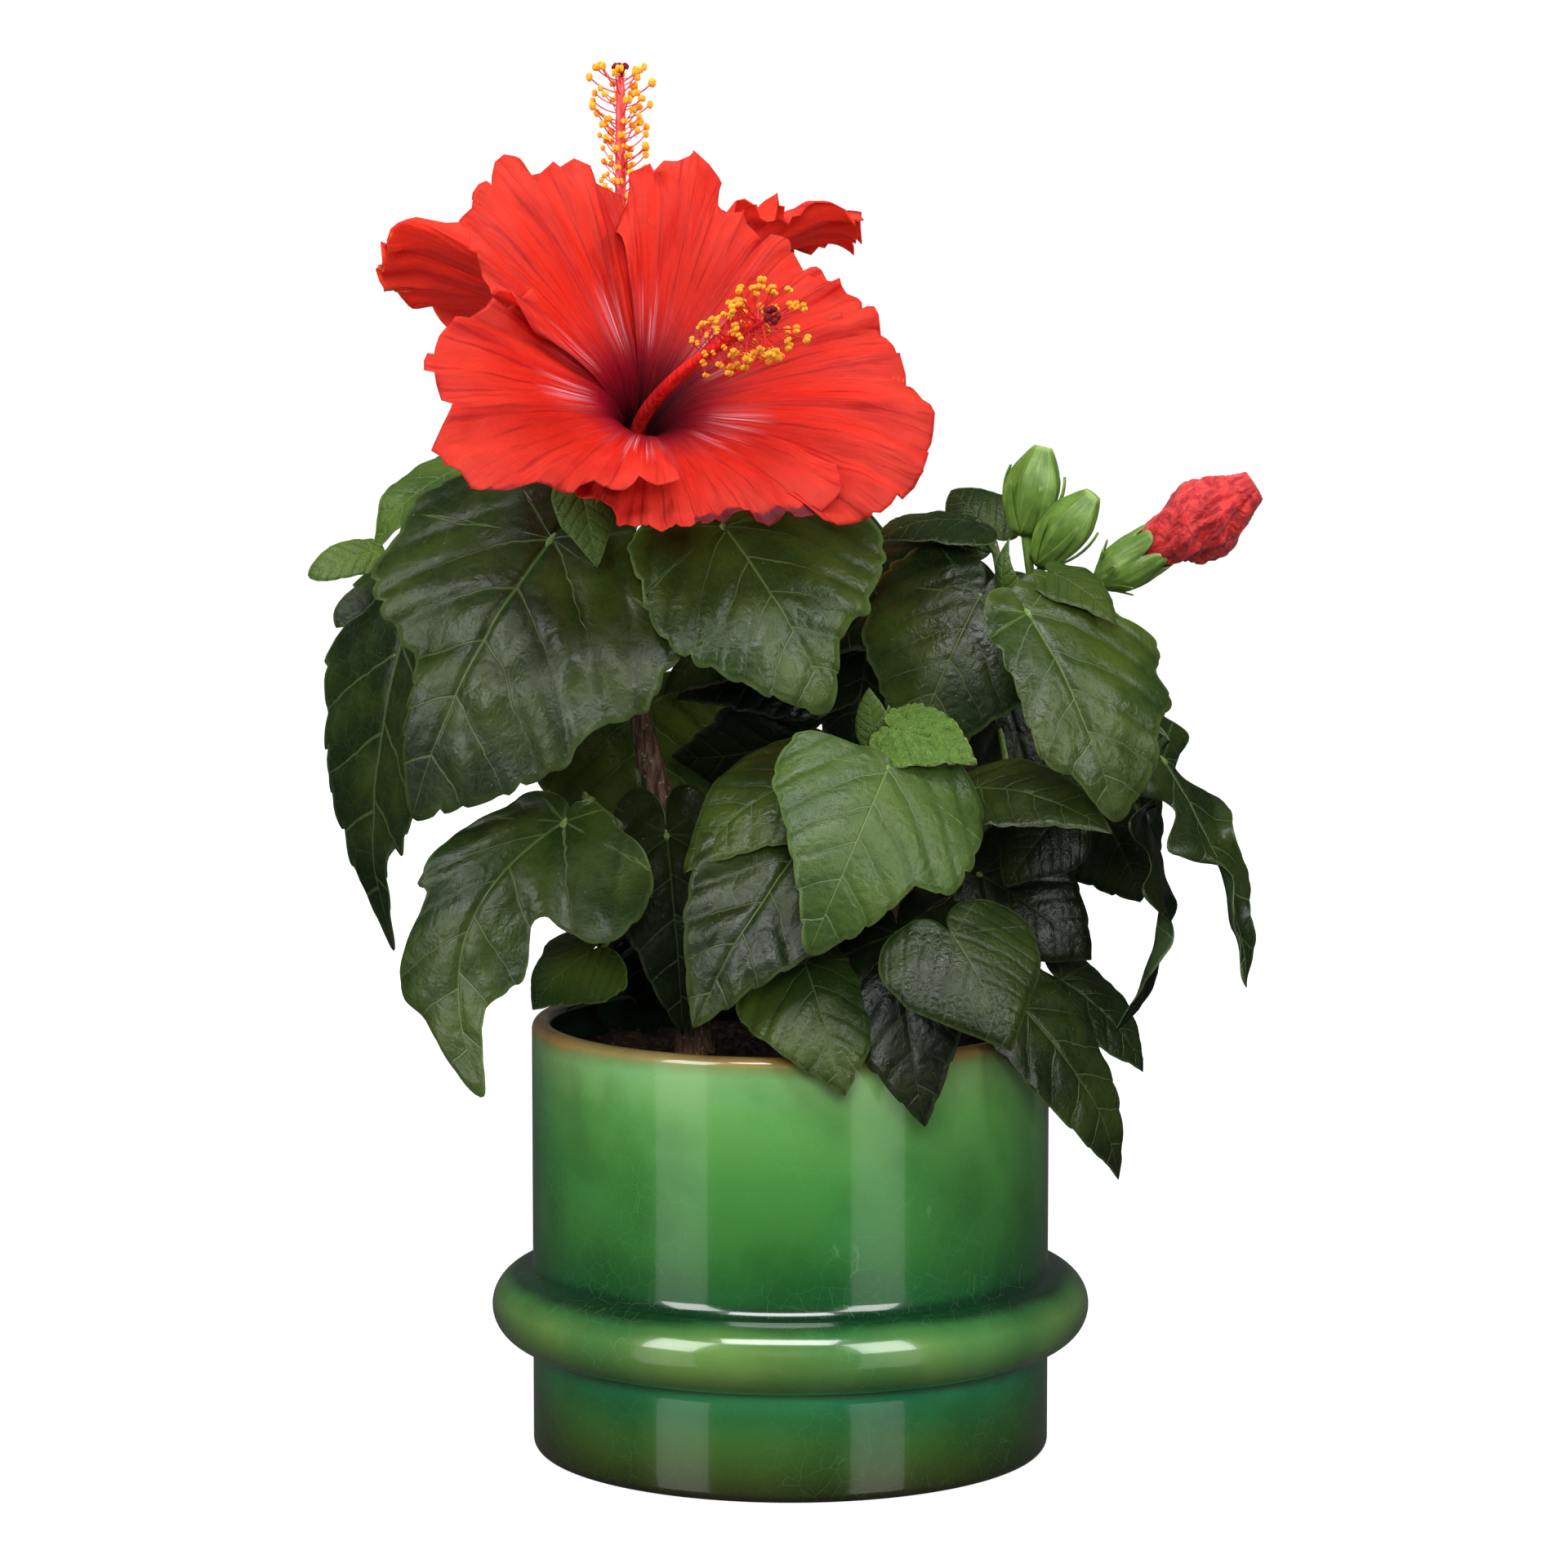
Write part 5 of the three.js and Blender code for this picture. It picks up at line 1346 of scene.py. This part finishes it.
points, faces, spots = pod((0, 0, -25), (0, 0, 37), wound, 84, 84)
furled = made("furled_petals", (set_in(FURLED_BLOOM, points), faces, spots), [crumpled_red()])
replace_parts(furled, "furled_bloom")
furled_cup = joined(cup(FURLED_BLOOM, 1.9, 0.2, 0.36))
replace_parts(made("furled_calyx_sepals", furled_cup, [SEPAL]), "furled_calyx")
line = rooted([*sprout("stem_right", 0.97, 70), (76, -18, 251), *on_axis(FURLED_BLOOM, *STALK_END)])
furled_stalk = tube(line, lambda share, turn: 1.5 - 0.3 * share + 0.25 * np.exp(-(share / 0.06) ** 2), 12, 44)
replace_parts(made("furled_stalk", furled_stalk, [STALK_GREEN]), "furled_bloom_stalk")


def ribbed(radius):
    """A closed bud: five sepals that meet in raised seams, drawn to a point."""
    def radius_at(share, turn):
        seam = np.abs(((turn * 5 / (2 * np.pi) + 0.25 * share) % 1) - 0.5) * 2
        swell = np.sin(np.pi * (0.05 + 0.86 * share ** 0.92)) ** 0.9
        return radius * swell * (1 + 0.13 * seam ** 5 - 0.04 * np.cos(seam * np.pi))
    return radius_at


def widened(share, turn):
    return 1.2 + 0.5 * np.exp(-((share - 1) / 0.2) ** 2)


bud_stalk = [*sprout("stem_right", 0.93, 100), (70, -7, 252), (69, -11, 262)]
bud_parts = []
for k, (foot, tip, radius) in enumerate([((67, -11, 270), (73, -10, 296), 7.6),
                                         ((71, -16, 262), (87, -20, 283), 7)]):
    inside = tuple(np.array(foot) + (np.array(tip) - foot) * 0.15)
    stalk_line = [*rooted(bud_stalk), inside] if k == 0 else [bud_stalk[-2], inside]
    bud_parts.append(tube(stalk_line, widened, 12, 24))
    bud_parts.append(pod(foot, tip, ribbed(radius), 60, 40))
    axis = np.array(tip, float) - foot
    bud, size, u = bloom_frame(foot, axis), np.linalg.norm(axis), BRACT_LONG
    for j in range(6):
        reach = size * (0.62 + 0.1 * math.sin(j * 1.9 + k))
        hug = radius * np.sin(np.pi * (0.05 + 0.86 * np.clip(u * reach / size + 0.02, 0, 1))) ** 0.9
        bud_parts.append(bract(bud, 2 * math.pi * (j + 0.4 * k) / 6, hug + 0.9 + 1.2 * u ** 2,
                               u * reach + 0.5,
                               1.75 * np.clip(1.15 - u, 0.1, 1) ** 0.6, 0.45, 0.9))
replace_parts(made("ribbed_buds", joined(bud_parts), [SEPAL]), "buds")


# ------------------------------------------------------------------ floor, lights and camera
# A plain white table in a white room. Broad softboxes high, in front, behind and at the back light the plant,
# small ones beside it light its flanks, and tall ones each side of the camera show as strips in the glaze.
floor_mesh = bpy.data.meshes.new("floor")
floor_mesh.from_pydata([(-6, -6, 0), (6, -6, 0), (6, 6, 0), (-6, 6, 0)], [], [(0, 1, 2, 3)])
floor = in_scene("floor", floor_mesh)
white, where = new_finish("white table", Specular_IOR_Level=0.0, Roughness=1.0,
                          Base_Color=(0.25, 0.25, 0.25, 1), Emission_Color=(1, 1, 1, 1))
tree = white.node_tree
seen = add(tree, "ShaderNodeLightPath").outputs["Is Camera Ray"]
glow = times(eased(distance_of(where), 0.08, 0.24, 0.92, 1.0), seen)
tree.links.new(glow, tree.nodes["Principled BSDF"].inputs["Emission Strength"])
floor_mesh.materials.append(white)
floor.visible_glossy = False

# The room is seen as white, and lights the plant less than it shows.
room = bpy.data.worlds.new("white room")
room.use_nodes = True
seen = add(room.node_tree, "ShaderNodeLightPath").outputs["Is Camera Ray"]
strength = times_plus(seen, 0.96, 0.06)
room.node_tree.links.new(strength, room.node_tree.nodes["Background"].inputs["Strength"])
room.node_tree.nodes["Background"].inputs["Color"].default_value = (1, 1, 1, 1)
bpy.context.scene.world = room


def softbox(name, place, aim, wide, high, power, lights=True, mirrored=True, spread=180):
    lamp = bpy.data.lights.new(name, "AREA")
    lamp.shape, lamp.size, lamp.size_y, lamp.energy = "RECTANGLE", wide, high, power
    lamp.spread = math.radians(spread)
    light = in_scene(name, lamp)
    light.location = place
    light.rotation_euler = (Vector(aim) - Vector(place)).to_track_quat("-Z", "Y").to_euler()
    light.visible_camera, light.visible_diffuse, light.visible_glossy = False, lights, mirrored


for name, x, y in (("left", -1.04, -0.94), ("right", 0.86, -1.10)):
    softbox("softbox " + name, (x, y, 0.95), (0, 0, 0.25), 0.60, 0.90, 13, lights=False)
    softbox("softbox foot " + name, (x, y, -0.10), (0, 0, 0.02), 0.60, 1.10, 1.7, lights=False)
softbox("softbox high", (-0.1, -0.95, 1.60), (0, 0, 0.2), 1.1, 0.5, 21)
softbox("softbox front", (0, -1.95, 0.85), (0, 0, 0.2), 0.8, 0.6, 25, mirrored=False)
softbox("softbox behind", (0, 0.45, 1.5), (0, 0, 0.2), 1.2, 1.0, 11, mirrored=False)
softbox("softbox at the back", (-0.3, 1.7, 0.9), (0, 0, 0.2), 1.0, 0.8, 14, mirrored=False)
for name, x in (("left", -0.95), ("right", 0.95)):
    softbox("softbox beside " + name, (x, -0.10, 0.80), (-0.02, 0.06, 0.36), 0.25, 0.25, 0.42, mirrored=False,
            spread=30)

lens = bpy.data.cameras.new("camera")
lens.sensor_fit, lens.sensor_width, lens.lens = "HORIZONTAL", 36, 131.25
camera = in_scene("camera", lens)
camera.location = (-0.0019, -1.660, 0.397)
camera.rotation_euler = (math.radians(90 - 6.88), 0, 0)
bpy.context.scene.camera = camera
bpy.context.scene.view_settings.view_transform = "Standard"
